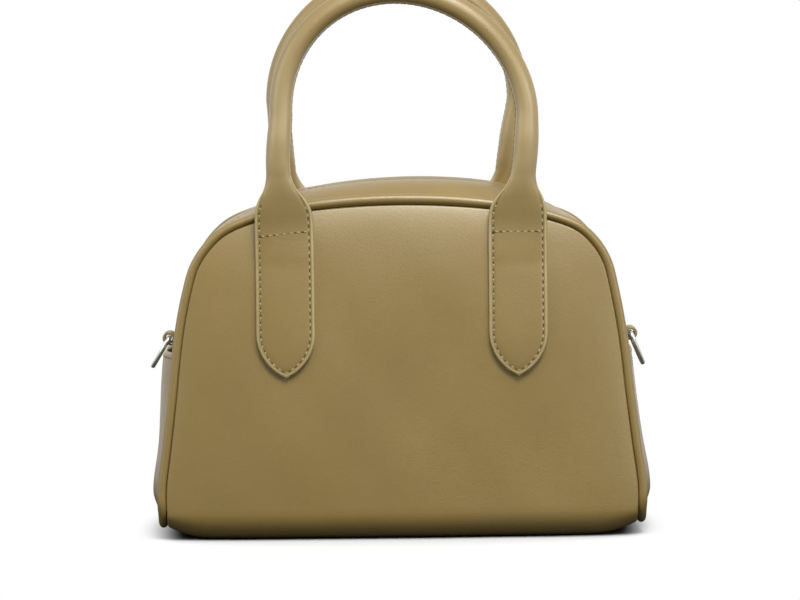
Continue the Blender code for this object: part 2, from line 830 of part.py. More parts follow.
def make_half(side, word):
    """One upper half: panel, lining, piping, gusset strip, tape, tabs and handle."""
    front = side < 0.0
    bend_y = side * (half_depth(bend_height) + panel_bulge + gap)
    bend = add_pivot(f"{word}_bend", (0.0, bend_y, bend_height))
    lowest = bend_height + bend_slit / 2.0
    panel = panel_points(dome_grid(lowest, 0.0, 17, 9), 0.0, side)
    add_sheet(f"{word}_panel", panel, leather, skin, bend, flip=not front)
    inset = leather + gap
    lining = panel_points(dome_grid(lowest, lining_edge_inset, 13, 7), inset, side)
    add_sheet(f"{word}_lining", lining, lining_sheet, cloth, bend, flip=not front)
    path, _ = arch_frames(lowest, 41, piping_radius + gap)
    path[[0, -1], 1] = lowest
    cord = [(x, side * (half_depth(z) - piping_set), z) for x, z in path]
    add_cord(f"{word}_piping", cord, piping_radius, skin_trim, bend)
    add_sheet(f"{word}_top_strip", strip_grid(side, 37, 6), strip_sheet, skin, bend, flip=front)
    add_loft(f"{word}_zip_tape", tape_rings(side, 37), tape_stuff, bend)
    for hand, hand_word in ((-1.0, "left"), (1.0, "right")):
        tab = tab_grid(hand, side)
        name = f"{word}_{hand_word}_tab"
        add_sheet(name, tab, tab_thickness, skin_trim, bend, flip=not front)
    fold = add_pivot(f"{word}_fold", (0.0, side * fold_depth(), pivot_height), bend)
    add_loft(f"{word}_handle", handle_rings(side), skin_trim, fold)
    return bend


def make_rings():
    """The two D-rings, each hanging on its bar's axis."""
    for side, word in ((-1.0, "left"), (1.0, "right")):
        ring = add_cord(
            f"{word}_ring", ring_points(), ring_wire, metal, cyclic=True, resolution=2
        )
        ring.location = ring_place(side)
        ring.rotation_euler = (0.0, -side * ring_angle, 0.0)


clear_scene()
bag = make_collection("dome_bag")
cutters = make_collection("cutters")
cutters.hide_render = True
skin = make_material("khaki_skin", khaki)
skin_trim = make_material("khaki_trim", khaki_dark)
cloth = make_material("lining_cloth", lining_cloth)
tape_stuff = make_material("zip_tape", tape_cloth)
metal = make_material("nickel", nickel)
board_stuff = make_material("board", board_grey)

make_root_pieces()
front_bend = make_half(-1.0, "front")
make_half(1.0, "back")
zip_slider = add_slider(front_bend)
add_puller(zip_slider)
make_rings()
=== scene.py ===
"""Looks of a small dome-shaped top-handle bag in smooth khaki leather-like sheet.

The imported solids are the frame. Each class makes the surfaces of one sub-assembly over
its solids, gives them their finish and hangs them on the bodies that move.
"""

import logging
import math
from collections.abc import Callable
from dataclasses import dataclass, field
from enum import Enum

import bmesh
import bpy
import numpy as np
from mathutils import Matrix

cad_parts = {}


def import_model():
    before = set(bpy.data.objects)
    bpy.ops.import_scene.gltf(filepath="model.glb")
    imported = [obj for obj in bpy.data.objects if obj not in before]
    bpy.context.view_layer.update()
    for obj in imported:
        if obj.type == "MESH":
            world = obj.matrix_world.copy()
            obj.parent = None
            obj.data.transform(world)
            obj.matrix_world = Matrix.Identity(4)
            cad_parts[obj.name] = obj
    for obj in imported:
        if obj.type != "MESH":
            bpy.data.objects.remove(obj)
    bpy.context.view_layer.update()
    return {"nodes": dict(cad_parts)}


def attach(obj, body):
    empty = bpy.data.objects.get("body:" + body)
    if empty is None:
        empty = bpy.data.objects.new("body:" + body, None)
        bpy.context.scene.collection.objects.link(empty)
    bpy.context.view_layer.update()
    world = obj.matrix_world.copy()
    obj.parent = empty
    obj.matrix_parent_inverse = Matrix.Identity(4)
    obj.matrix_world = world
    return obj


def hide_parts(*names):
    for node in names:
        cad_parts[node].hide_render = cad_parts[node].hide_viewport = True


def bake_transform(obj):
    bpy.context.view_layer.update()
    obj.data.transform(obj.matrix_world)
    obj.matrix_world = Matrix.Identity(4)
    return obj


log = logging.getLogger("dome_bag")

# Directions that ride along with places are this short, so that lengths stay true.
FAINT = 1e-6

# Directions along a path are taken over this share of its length either way.
SHORT_STEP = 1e-4

UP = (0.0, 0.0, 1.0)


class Way(Enum):
    """A face or a hand of the bag, by the sign of its place."""

    @property
    def word(self) -> str:
        """Its word in the names of pieces and bodies."""
        return self.name.lower()


class Side(Way):
    """The two long faces of the bag, by the sign of their place along Y."""

    FRONT = -1
    BACK = 1

    @property
    def outward(self) -> tuple[float, float, float]:
        """The direction out of the bag."""
        return (0.0, self.value, 0.0)


class Hand(Way):
    """Left and right as the front is seen, by the sign of their place along X."""

    LEFT = -1
    RIGHT = 1

    @property
    def outward(self) -> tuple[float, float, float]:
        """The direction out of the bag."""
        return (self.value, 0.0, 0.0)


def smoothstep(value: np.ndarray, low: float, high: float) -> np.ndarray:
    """Rises from 0 at low to 1 at high as 3s^2 - 2s^3 of the share s between them.

    Args:
        value: Numbers to weigh.
        low: Where the rise starts.
        high: Where the rise ends.

    Returns:
        Weights from 0 to 1, one for each number.
    """
    share = np.clip((value - low) / (high - low), 0.0, 1.0)
    return share * share * (3.0 - 2.0 * share)


def through_points(points: np.ndarray, steps: int) -> np.ndarray:
    """A Catmull-Rom curve: each span is the cubic of its two ends and their neighbours.

    Args:
        points: Points that the curve passes through, one a row.
        steps: Pieces to each span.

    Returns:
        Points of the curve, one a row.
    """
    points = np.asarray(points, float)
    ends = (2.0 * points[:1] - points[1:2], 2.0 * points[-1:] - points[-2:-1])
    padded = np.vstack([ends[0], points, ends[1]])
    a, b, c, d = (padded[i : len(padded) - 3 + i, None] for i in range(4))
    share = (np.arange(steps) / steps)[None, :, None]
    curve = 0.5 * (
        2.0 * b
        + (c - a) * share
        + (2.0 * a - 5.0 * b + 4.0 * c - d) * share**2
        + (3.0 * b - a - 3.0 * c + d) * share**3
    )
    return np.vstack([curve.reshape(-1, points.shape[1]), points[-1:]])


def lengths_along(path: np.ndarray) -> np.ndarray:
    """Distance along a path from its first point to each point: the sum of the steps."""
    steps = np.linalg.norm(np.diff(path, axis=0), axis=1)
    return np.concatenate([[0.0], np.cumsum(steps)])


def along(path: np.ndarray, shares: np.ndarray) -> np.ndarray:
    """Points of a path at shares of its length, straight between its own points.

    Args:
        path: Points, one a row.
        shares: Shares of the length, from 0 to 1.

    Returns:
        One point for each share.
    """
    lengths = lengths_along(path)
    places = np.asarray(shares) * lengths[-1]
    return np.stack([np.interp(places, lengths, one) for one in path.T], axis=-1)


def dense_ends(count: int, crowding: float) -> np.ndarray:
    """Shares from 0 to 1 that crowd at both ends: a sine of an evenly turned angle."""
    angle = np.linspace(-1.0, 1.0, count) * crowding * math.pi / 2.0
    return 0.5 + 0.5 * np.sin(angle) / math.sin(crowding * math.pi / 2.0)


def dense_last(count: int, crowding: float) -> np.ndarray:
    """Shares from 0 to 1 that crowd at the last end: a sine of an evenly turned angle."""
    angle = np.linspace(0.0, 1.0, count) * crowding * math.pi / 2.0
    return np.sin(angle) / math.sin(crowding * math.pi / 2.0)


def unit(vectors: np.ndarray) -> np.ndarray:
    """The same directions at length 1."""
    return vectors / np.maximum(np.linalg.norm(vectors, axis=-1, keepdims=True), 1e-12)


def grid_normals(grid: np.ndarray, hint: tuple[float, float, float]) -> np.ndarray:
    """Unit cross products of a grid's two directions, turned to the side of a hint.

    Args:
        grid: Points in rows and columns.
        hint: A direction that the normal at the grid's middle roughly has.

    Returns:
        One unit normal for each point.
    """
    normals = unit(np.cross(np.gradient(grid, axis=1), np.gradient(grid, axis=0)))
    middle = normals[grid.shape[0] // 2, grid.shape[1] // 2]
    return normals * (1.0 if middle @ np.array(hint) > 0.0 else -1.0)


def distance_to(points: np.ndarray, path: np.ndarray) -> np.ndarray:
    """Shortest distance in the plane from each point to the corners of a dense path."""
    flat = points.reshape(-1, 2)
    nearest = [
        np.linalg.norm(block[:, None] - path[None], axis=2).min(axis=1)
        for block in np.array_split(flat, max(1, len(flat) // 2000))
    ]
    return np.concatenate(nearest).reshape(points.shape[:-1])


def coons(
    bottom: np.ndarray,
    top: np.ndarray,
    left: np.ndarray,
    right: np.ndarray,
    across: np.ndarray,
    up: np.ndarray,
) -> np.ndarray:
    """Fills four edges: the two ruled surfaces added, less the one of the corners.

    Args:
        bottom: Lower edge, one point for each share across.
        top: Upper edge, likewise.
        left: Left edge, one point for each share up.
        right: Right edge, likewise.
        across: Shares from left to right.
        up: Shares from bottom to top.

    Returns:
        Points in rows from the bottom up.
    """
    s = across[None, :, None]
    t = up[:, None, None]
    ruled = (1.0 - t) * bottom[None] + t * top[None]
    ruled = ruled + (1.0 - s) * left[:, None] + s * right[:, None]
    low = (1.0 - s) * bottom[0] + s * bottom[-1]
    high = (1.0 - s) * top[0] + s * top[-1]
    return ruled - (1.0 - t) * low - t * high


def swept(
    path: np.ndarray, hint: tuple[float, float, float], section: np.ndarray
) -> np.ndarray:
    """Carries a section along a path: point = path + b u + c v in the path's own frame.

    b is the cross product of the path's direction with the hint, and c the one of the
    direction with b.

    Args:
        path: Points of the middle line.
        hint: A direction that is never along the path.
        section: Places u and v, either one section or one for each point of the path.

    Returns:
        Points in rows, one section to a row.
    """
    ahead = unit(np.gradient(path, axis=0))
    b = unit(np.cross(ahead, np.array(hint)))
    c = np.cross(ahead, b)
    section = np.broadcast_to(section, (len(path),) + section.shape[-2:])
    place = section[..., 0, None] * b[:, None] + section[..., 1, None] * c[:, None]
    return path[:, None] + place


def circle(radius: float, around: int) -> np.ndarray:
    """Places on a circle, as the cosine and sine of an even turn."""
    angle = np.linspace(0.0, 2.0 * math.pi, around, endpoint=False)
    return radius * np.stack([np.cos(angle), np.sin(angle)], axis=-1)


def rounded_bar(half_wide: float, half_thick: float, corner: float) -> np.ndarray:
    """Places on a rectangle with four quarter circles for corners.

    Args:
        half_wide: Half the width, along u.
        half_thick: Half the thickness, along v.
        corner: Radius of the corners.

    Returns:
        Places u and v round the section.
    """
    quarter = np.linspace(0.0, math.pi / 2.0, 4)
    angle = np.concatenate([quarter + k * math.pi / 2.0 for k in range(4)])
    signs = np.repeat([[1, 1], [-1, 1], [-1, -1], [1, -1]], 4, axis=0)
    middle = signs * [half_wide - corner, half_thick - corner]
    return middle + corner * np.stack([np.cos(angle), np.sin(angle)], axis=-1)


def heading(path: np.ndarray, shares: np.ndarray) -> np.ndarray:
    """Unit directions of a path at shares of its length, from a short step either way."""
    return unit(along(path, shares + SHORT_STEP) - along(path, shares - SHORT_STEP))


def rounding(distance: np.ndarray, radius: float) -> np.ndarray:
    """How far a round edge falls away: r less the root of r^2 less (r - distance)^2.

    Args:
        distance: Distances from the edge.
        radius: The radius r of the rounding.

    Returns:
        Falls, which are 0 from the radius inwards.
    """
    short = np.clip(radius - distance, 0.0, radius)
    return radius - np.sqrt(radius**2 - short**2)


def looped(path: np.ndarray, fixed: np.ndarray, section: np.ndarray) -> np.ndarray:
    """Carries a section round a closed path: point = path + u f + v (direction x f).

    Args:
        path: Points of the closed middle line, the first not repeated.
        fixed: The direction f, which is square to the path all the way round.
        section: Places u and v.

    Returns:
        Points in rows, one section to a row.
    """
    ahead = unit(np.roll(path, -1, axis=0) - np.roll(path, 1, axis=0))
    square = np.cross(ahead, fixed)[:, None]
    return path[:, None] + section[None, :, :1] * fixed + section[None, :, 1:] * square


def strung(
    places: np.ndarray, axes: tuple[np.ndarray, ...], run: np.ndarray, rings: np.ndarray
) -> np.ndarray:
    """Sets one small solid at many places: point = place + a run + b u + c v.

    Args:
        places: Where the solids are.
        axes: The directions a, b and c at each place.
        run: Place of each ring along a.
        rings: Places u and v of each ring.

    Returns:
        Points of every solid, as a batch of rings.
    """
    a, b, c = (axis[:, None, None] for axis in axes)
    flat = a * run[None, :, None, None] + b * rings[None, ..., :1] + c * rings[None, ..., 1:]
    return places[:, None, None] + flat


def superellipse(half_long: float, half_wide: float, power: float, count: int) -> np.ndarray:
    """Places on an ellipse whose cosine and sine are raised to a power, signs kept."""
    angle = np.linspace(0.0, 2.0 * math.pi, count, endpoint=False)
    turn = np.stack([np.cos(angle), np.sin(angle)], axis=-1)
    return np.array([half_long, half_wide]) * np.sign(turn) * np.abs(turn) ** power


def add_node(
    tree: bpy.types.NodeTree, kind: str, inputs: dict | None = None, **settings: object
) -> bpy.types.Node:
    """Adds a node to a tree.

    Args:
        tree: The node tree.
        kind: Blender's name of the node's type.
        inputs: Values or sockets for its inputs, by name or number.
        settings: Values of its own properties.

    Returns:
        The node.
    """
    made = tree.nodes.new(kind)
    for key, value in settings.items():
        setattr(made, key, value)
    for key, value in (inputs or {}).items():
        if isinstance(value, bpy.types.NodeSocket):
            tree.links.new(value, made.inputs[key])
        else:
            made.inputs[key].default_value = value
    return made


def add_object(data: bpy.types.ID) -> bpy.types.Object:
    """Adds an object to the scene, at the origin, with its data's own name."""
    obj = bpy.data.objects.new(data.name, data)
    bpy.context.scene.collection.objects.link(obj)
    return obj


@dataclass
class Surface:
    """Grids of four-sided faces gathered into one mesh, with a place on the UV map."""

    points: list[np.ndarray] = field(default_factory=list)
    faces: list[np.ndarray] = field(default_factory=list)
    places: list[np.ndarray] = field(default_factory=list)
    looks: list[np.ndarray] = field(default_factory=list)
    count: int = 0

    def add_grid(
        self,
        grid: np.ndarray,
        uv: np.ndarray | None = None,
        wrap: bool = False,
        look: int = 0,
    ) -> None:
        """Adds a grid, or a batch of grids of one size.

        Args:
            grid: Points in rows and columns, with a first axis for a batch.
            uv: Places on the UV map, with one more column where the grid wraps.
            wrap: Whether the last column joins the first.
            look: Number of the material in the piece's own list.
        """
        batch = grid if grid.ndim == 4 else grid[None]
        copies, rows, columns = batch.shape[:3]
        index = self.count + np.arange(copies * rows * columns).reshape(copies, rows, columns)
        if wrap:
            index = np.concatenate([index, index[:, :, :1]], axis=2)
        if uv is None:
            uv = batch[..., :2] * 0.0 + 1.0
            uv = np.concatenate([uv, uv[:, :, :1]], axis=2) if wrap else uv
        uv = np.broadcast_to(uv, index.shape + (2,))
        self.faces.append(self._corners(index).reshape(-1, 4))
        self.places.append(self._corners(uv).reshape(-1, 4, 2))
        self.looks.append(np.full(len(self.faces[-1]), look))
        self.points.append(batch.reshape(-1, 3))
        self.count += copies * rows * columns

    @staticmethod
    def _corners(values: np.ndarray) -> np.ndarray:
        """The four corners of each face of a batch of grids, in order round the face."""
        four = (values[:, :-1, :-1], values[:, :-1, 1:], values[:, 1:, 1:], values[:, 1:, :-1])
        return np.stack(four, axis=3)

    def add_shell(
        self,
        outer: np.ndarray,
        inner: np.ndarray,
        uv: np.ndarray | None = None,
        look: int = 0,
        rim_look: int = 0,
    ) -> None:
        """Adds a closed sheet: its two faces and the four rims between their edges.

        Args:
            outer: Points of the outer face.
            inner: Points of the inner face, one for each outer point.
            uv: Places of both faces on the UV map.
            look: Material of the two faces.
            rim_look: Material of the rims.
        """
        self.add_grid(outer, uv, look=look)
        self.add_grid(inner, uv, look=look)
        for pick in (np.s_[0], np.s_[-1], np.s_[:, 0], np.s_[:, -1]):
            rim_uv = None if uv is None else np.stack([uv[pick], uv[pick]])
            self.add_grid(np.stack([outer[pick], inner[pick]]), rim_uv, look=rim_look)

    def add_sheet(
        self,
        face: np.ndarray,
        hint: tuple[float, float, float],
        thickness: float,
        uv: np.ndarray | None = None,
        fall: np.ndarray | float = 0.0,
        rim_look: int = 0,
        settle: Callable[[np.ndarray], np.ndarray] = np.asarray,
    ) -> None:
        """Adds a closed sheet from its outer face: point = face - normal times a depth.

        Args:
            face: Points of the outer face.
            hint: Roughly the outward direction.
            thickness: Depth of the inner face.
            uv: Places on the UV map.
            fall: Depth of the outer face, where its edges are rounded.
            rim_look: Material of the rims.
            settle: Moves points to where the bag really has them.
        """
        normals = grid_normals(face, hint)
        outer = settle(face - normals * np.asarray(fall)[..., None])
        self.add_shell(outer, settle(face - normals * thickness), uv, rim_look=rim_look)

    def add_tube(
        self, rings: np.ndarray, uv: np.ndarray | None = None, look: int = 0, closed: bool = False
    ) -> None:
        """Adds a closed tube: rings in rows, with its ends drawn to their middles.

        Args:
            rings: Points, one ring to a row, with a first axis for a batch.
            uv: Places on the UV map, one row to a ring and one more column.
            look: Number of the material.
            closed: Whether the last ring joins the first, so that there are no ends.
        """
        axis = rings.ndim - 3
        first, last = rings.take([0], axis), rings.take([-1], axis)
        if closed:
            rings = np.concatenate([rings, first], axis=axis)
            uv = None if uv is None else np.concatenate([uv, uv[:1]])
        else:
            ends = [one * 0.0 + one.mean(axis=-2, keepdims=True) for one in (first, last)]
            rings = np.concatenate([ends[0], rings, ends[1]], axis=axis)
            uv = None if uv is None else np.concatenate([uv[:1], uv, uv[-1:]])
        self.add_grid(rings, uv, wrap=True, look=look)

    def make(
        self, name: str, materials: list[bpy.types.Material], crease: float = 50.0
    ) -> bpy.types.Object:
        """Makes the object: doubles merged, normals outwards, smooth below a crease angle.

        Args:
            name: The piece's name.
            materials: Its materials, in the order of the look numbers.
            crease: Angle in degrees above which an edge stays sharp.

        Returns:
            The new object, at the origin.
        """
        mesh = bpy.data.meshes.new(name)
        faces = np.concatenate(self.faces)
        mesh.from_pydata(np.concatenate(self.points).tolist(), [], faces.tolist())
        layer = mesh.uv_layers.new(name="seam")
        layer.data.foreach_set("uv", np.concatenate(self.places).astype(np.float32).ravel())
        mesh.polygons.foreach_set("material_index", np.concatenate(self.looks).astype(np.int32))
        for material in materials:
            mesh.materials.append(material)
        work = bmesh.new()
        work.from_mesh(mesh)
        bmesh.ops.remove_doubles(work, verts=work.verts, dist=1e-6)
        bmesh.ops.dissolve_degenerate(work, edges=work.edges, dist=1e-7)
        bmesh.ops.recalc_face_normals(work, faces=work.faces)
        work.to_mesh(mesh)
        work.free()
        mesh.shade_smooth()
        mesh.set_sharp_from_angle(angle=math.radians(crease))
        obj = add_object(mesh)
        log.info("%s: %d faces", name, len(mesh.polygons))
        return obj


@dataclass
class Graph:
    """A material's node tree, built by short calls that hand on sockets."""

    name: str
    roughness: float
    metallic: float = 0.0
    specular: float = 0.50

    def __post_init__(self) -> None:
        """Makes the material with its one shader."""
        self.material = bpy.data.materials.new(self.name)
        self.material.use_nodes = True
        self.tree = self.material.node_tree
        self.shader = self.tree.nodes["Principled BSDF"]
        self.shader.inputs["Roughness"].default_value = self.roughness
        self.shader.inputs["Metallic"].default_value = self.metallic
        self.shader.inputs["Specular IOR Level"].default_value = self.specular
        self.place = self.node("ShaderNodeTexCoord").outputs["Object"]

    def node(self, kind: str, inputs: dict | None = None, **settings: object) -> bpy.types.Node:
        """Adds a node to the material, as add_node does."""
        return add_node(self.tree, kind, inputs, **settings)

    def stretched(self, turn: tuple, scale: tuple) -> bpy.types.NodeSocket:
        """Object coordinates turned by degrees and scaled along each axis."""
        angles = tuple(math.radians(one) for one in turn)
        inputs = {"Vector": self.place, "Rotation": angles, "Scale": scale}
        return self.node("ShaderNodeMapping", inputs).outputs["Vector"]

    def noise(
        self, scale: float, detail: float = 2.0, vector: bpy.types.NodeSocket | None = None
    ) -> bpy.types.NodeSocket:
        """Noise from 0 to 1 with a number of features to the metre."""
        inputs = {"Vector": vector or self.place, "Scale": scale, "Detail": detail}
        return self.node("ShaderNodeTexNoise", inputs).outputs[0]

    def ramp(self, value: bpy.types.NodeSocket, low: float, high: float) -> bpy.types.NodeSocket:
        """A smooth rise from 0 at low to 1 at high."""
        inputs = {"Value": value, "From Min": low, "From Max": high}
        made = self.node("ShaderNodeMapRange", inputs, interpolation_type="SMOOTHSTEP")
        return made.outputs["Result"]

    def fall(self, value: bpy.types.NodeSocket, low: float, high: float) -> bpy.types.NodeSocket:
        """A smooth fall from 1 at low to 0 at high."""
        return self.maths("SUBTRACT", 1.0, self.ramp(value, low, high))

    def maths(
        self, operation: str, a: object, b: object = 0.0, c: object = 0.0
    ) -> bpy.types.NodeSocket:
        """One sum, product or other operation on up to three values."""
        return self.node("ShaderNodeMath", {0: a, 1: b, 2: c}, operation=operation).outputs[0]

    def off(self, value: bpy.types.NodeSocket, middle: float) -> bpy.types.NodeSocket:
        """How far a value is from a middle one, either way."""
        return self.maths("ABSOLUTE", self.maths("SUBTRACT", value, middle))

    def mix(self, share: object, a: object, b: object) -> bpy.types.NodeSocket:
        """A colour between a, at share 0, and b, at share 1."""
        return self.node("ShaderNodeMix", {0: share, 6: a, 7: b}, data_type="RGBA").outputs[2]

    def shaded(
        self, share: object, colour: tuple[float, float, float], low: float, high: float
    ) -> bpy.types.NodeSocket:
        """A colour between its tint by low, at share 0, and by high, at share 1."""
        return self.mix(share, tinted(colour, low), tinted(colour, high))

    def seam_distance(self) -> bpy.types.NodeSocket:
        """Distance from the piece's seam or edge, which its UV map holds as V."""
        return self.seam_place("Y")

    def seam_place(self, axis: str) -> bpy.types.NodeSocket:
        """One coordinate of the piece's UV map, which holds lengths in metres."""
        uv = self.node("ShaderNodeUVMap", uv_map="seam").outputs["UV"]
        return self.node("ShaderNodeSeparateXYZ", {0: uv}).outputs[axis]

    def finished(
        self,
        colour: bpy.types.NodeSocket,
        bumps: list[tuple[bpy.types.NodeSocket, float]],
        rough: bpy.types.NodeSocket | None = None,
    ) -> bpy.types.Material:
        """Links colour, roughness and stacked bumps to the shader.

        Args:
            colour: The base colour.
            bumps: Pattern and height in metres of each bump.
            rough: The roughness, where it varies.

        Returns:
            The material.
        """
        normal = None
        for height, depth in bumps:
            inputs = {"Height": height, "Distance": depth, "Strength": 1.0}
            if normal:
                inputs["Normal"] = normal
            normal = self.node("ShaderNodeBump", inputs).outputs["Normal"]
        for socket, value in (("Base Color", colour), ("Roughness", rough), ("Normal", normal)):
            if value:
                self.tree.links.new(value, self.shader.inputs[socket])
        return self.material


def tinted(colour: tuple[float, float, float], share: float) -> tuple:
    """A colour made lighter or darker by a factor, with its alpha."""
    return (*(min(1.0, one * share) for one in colour), 1.0)


@dataclass(frozen=True)
class Leather:
    """Smooth leather-like sheet: soft mottling, fine pores, creases and painted shade at the seam.
    """

    name: str
    colour: tuple[float, float, float] = (0.262, 0.180, 0.052)
    warm: tuple[float, float, float] = (0.30, 0.195, 0.062)
    shadow: tuple[float, float, float] = (0.10, 0.062, 0.020)
    roughness: float = 0.36
    specular: float = 0.62
    paint: tuple[float, float, float] = (0.40, 0.315, 0.130)
    paint_reach: float = 0.0
    # Pale edge colour over the arch: partly the real pale raw edge, partly painted light on the
    # dim underside.
    raw_edge: tuple[float, float, float] = (0.78, 0.71, 0.54)
    seam_reach: float = 0.0
    channel: float = 0.0
    channel_reach: float = 0.0007
    painted_handle_light: bool = False
    # Heights of the legs' painted sheen, of the arch, and of the painted shade on the neck.
    painted_sheen_from: tuple[float, float] = (0.157, 0.184)
    arch_from: tuple[float, float] = (0.205, 0.250)
    neck: tuple[float, float, float, float] = (0.140, 0.154, 0.156, 0.166)

    def make(self) -> bpy.types.Material:
        """The material, with painted seam shade or edge paint where the piece has them."""
        graph = Graph(self.name, self.roughness, specular=self.specular)
        cloud, fine = graph.noise(16.0, 3.0), graph.noise(2100.0, 2.0)
        colour = graph.shaded(cloud, self.colour, 0.90, 1.10)
        patch = graph.maths("MULTIPLY", graph.ramp(graph.noise(85.0, 4.0), 0.35, 0.75), 0.16)
        colour = graph.mix(patch, colour, (*self.warm, 1.0))
        line = self.creases(graph)
        # Painted shade: the colour is darker along the crease lines.
        colour = graph.mix(graph.maths("MULTIPLY", line, 0.10), colour, tinted(self.colour, 0.6))
        cells = {"Vector": graph.place, "Scale": 950.0}
        pores = graph.node("ShaderNodeTexVoronoi", cells).outputs["Distance"]
        if self.seam_reach > 0.0:
            # Painted shade: the colour darkens toward the shadow colour near the seam.
            shade = graph.fall(graph.seam_distance(), 0.0, self.seam_reach)
            colour = graph.mix(graph.maths("MULTIPLY", shade, 0.20), colour, (*self.shadow, 1.0))
        if self.painted_handle_light:
            colour = self.handle_light_and_shade(graph, colour, cloud)
        if self.paint_reach > 0.0:
            outside = graph.ramp(graph.seam_distance(), self.paint_reach * 0.75, self.paint_reach)
            painted = graph.shaded(cloud, self.paint, 0.94, 1.06)
            if self.painted_handle_light:
                # Over the arch the edge paint turns to the pale raw-edge colour, partly painted
                # light on the underside.
                painted = graph.mix(self.over_arch(graph), painted, (*self.raw_edge, 1.0))
            colour = graph.mix(outside, painted, colour)
        if self.channel > 0.0:
            # Painted shade: the colour darkens in the stitch channel.
            off = graph.off(graph.seam_distance(), self.channel)
            channel_shade = graph.maths("MULTIPLY", graph.fall(off, 0.0, self.channel_reach), 0.35)
            colour = graph.mix(channel_shade, colour, tinted(self.colour, 0.5))
        rough = graph.maths("MULTIPLY_ADD", graph.noise(240.0, 3.0), 0.12, self.roughness - 0.06)
        bumps = [(cloud, 0.0004), (line, -0.000012), (pores, 0.00003), (fine, 0.00001)]
        return graph.finished(colour, bumps, rough)

    def creases(self, graph: Graph) -> bpy.types.NodeSocket:
        """Fine lines where a stretched noise passes its middle, in a few areas only."""
        crease = graph.noise(60.0, 3.0, graph.stretched((0.0, 38.0, 0.0), (1.0, 1.0, 5.5)))
        line = graph.fall(graph.off(crease, 0.5), 0.0, 0.030)
        return graph.maths("MULTIPLY", line, graph.ramp(graph.noise(13.0, 2.0), 0.54, 0.66))

    def over_arch(self, graph: Graph) -> bpy.types.NodeSocket:
        """A rise from 0 on the handle's legs to 1 on its arch, by the UV map's height."""
        return graph.ramp(graph.seam_place("X"), *self.arch_from)

    def handle_light_and_shade(
        self, graph: Graph, colour: bpy.types.NodeSocket, cloud: bpy.types.NodeSocket
    ) -> bpy.types.NodeSocket:
        """The strap's colour with a painted sheen that makes the legs paler, a real clear coat
        there, and painted shade on the neck.

        Args:
            graph: The material.
            colour: The colour so far.
            cloud: The mottling.

        Returns:
            The new colour.
        """
        coat_and_painted_sheen = graph.ramp(graph.seam_place("X"), *self.painted_sheen_from)
        less = graph.maths("MULTIPLY_ADD", self.over_arch(graph), -0.75, 1.0)
        coat_and_painted_sheen = graph.maths("MULTIPLY", coat_and_painted_sheen, less)
        # Painted sheen: the legs' colour is made paler, less so over the arch; the real coat
        # follows the same mask.
        colour = graph.mix(coat_and_painted_sheen, colour, graph.shaded(cloud, self.colour, 1.18, 1.30))
        # Painted shade: the neck is darkened between these heights.
        low = graph.ramp(graph.seam_place("X"), *self.neck[:2])
        high = graph.fall(graph.seam_place("X"), *self.neck[2:])
        painted_neck_shade = graph.maths("MULTIPLY", graph.maths("MULTIPLY", low, high), 0.30)
        graph.tree.links.new(coat_and_painted_sheen, graph.shader.inputs["Coat Weight"])
        graph.shader.inputs["Coat Roughness"].default_value = 0.62
        graph.shader.inputs["Coat IOR"].default_value = 1.7
        return graph.mix(painted_neck_shade, colour, tinted(self.colour, 0.62))


@dataclass(frozen=True)
class Plain:
    """A finish of one colour with soft variation and a fine bump: thread, paint, board."""

    name: str
    colour: tuple[float, float, float]
    roughness: float
    scale: float = 900.0
    depth: float = 0.00003

    def make(self) -> bpy.types.Material:
        """The material."""
        graph = Graph(self.name, self.roughness)
        grain = graph.noise(self.scale, 3.0)
        return graph.finished(graph.shaded(grain, self.colour, 0.85, 1.15), [(grain, self.depth)])


@dataclass(frozen=True)
class Weave:
    """Woven cloth: two crossing sets of threads, as a wave along each of two directions."""

    name: str
    colour: tuple[float, float, float]
    threads: float = 1400.0
    depth: float = 0.00008
    roughness: float = 0.85

    def make(self) -> bpy.types.Material:
        """The material, whose waves have 2 pi threads to Blender's unit of scale."""
        graph = Graph(self.name, self.roughness)
        inputs = {"Vector": graph.place, "Scale": self.threads / 6.3, "Distortion": 0.4}
        warp, weft = (
            graph.node("ShaderNodeTexWave", inputs, bands_direction=axis).outputs["Fac"]
            for axis in "XZ"
        )
        height = graph.maths("MAXIMUM", warp, weft)
        colour = graph.shaded(graph.noise(40.0, 3.0), self.colour, 0.9, 1.1)
        raised = graph.maths("MULTIPLY", height, 0.35)
        colour = graph.mix(raised, colour, tinted(self.colour, 0.6))
        return graph.finished(colour, [(height, self.depth)])


@dataclass(frozen=True)
class Metal:
    """Polished metal with faint smears and fine scratches."""

    name: str
    colour: tuple[float, float, float] = (0.70, 0.695, 0.685)
    roughness: float = 0.18
    metallic: float = 0.85

    def make(self) -> bpy.types.Material:
        """The material."""
        graph = Graph(self.name, self.roughness, self.metallic)
        smear = graph.noise(260.0, 4.0)
        scratch = graph.noise(900.0, 2.0, graph.stretched((0.0, 25.0, 10.0), (1.0, 8.0, 1.0)))
        rough = graph.maths("MULTIPLY_ADD", smear, 0.10, self.roughness - 0.04)
        colour = graph.shaded(smear, self.colour, 0.93, 1.0)
        return graph.finished(colour, [(scratch, 0.000004)], rough)


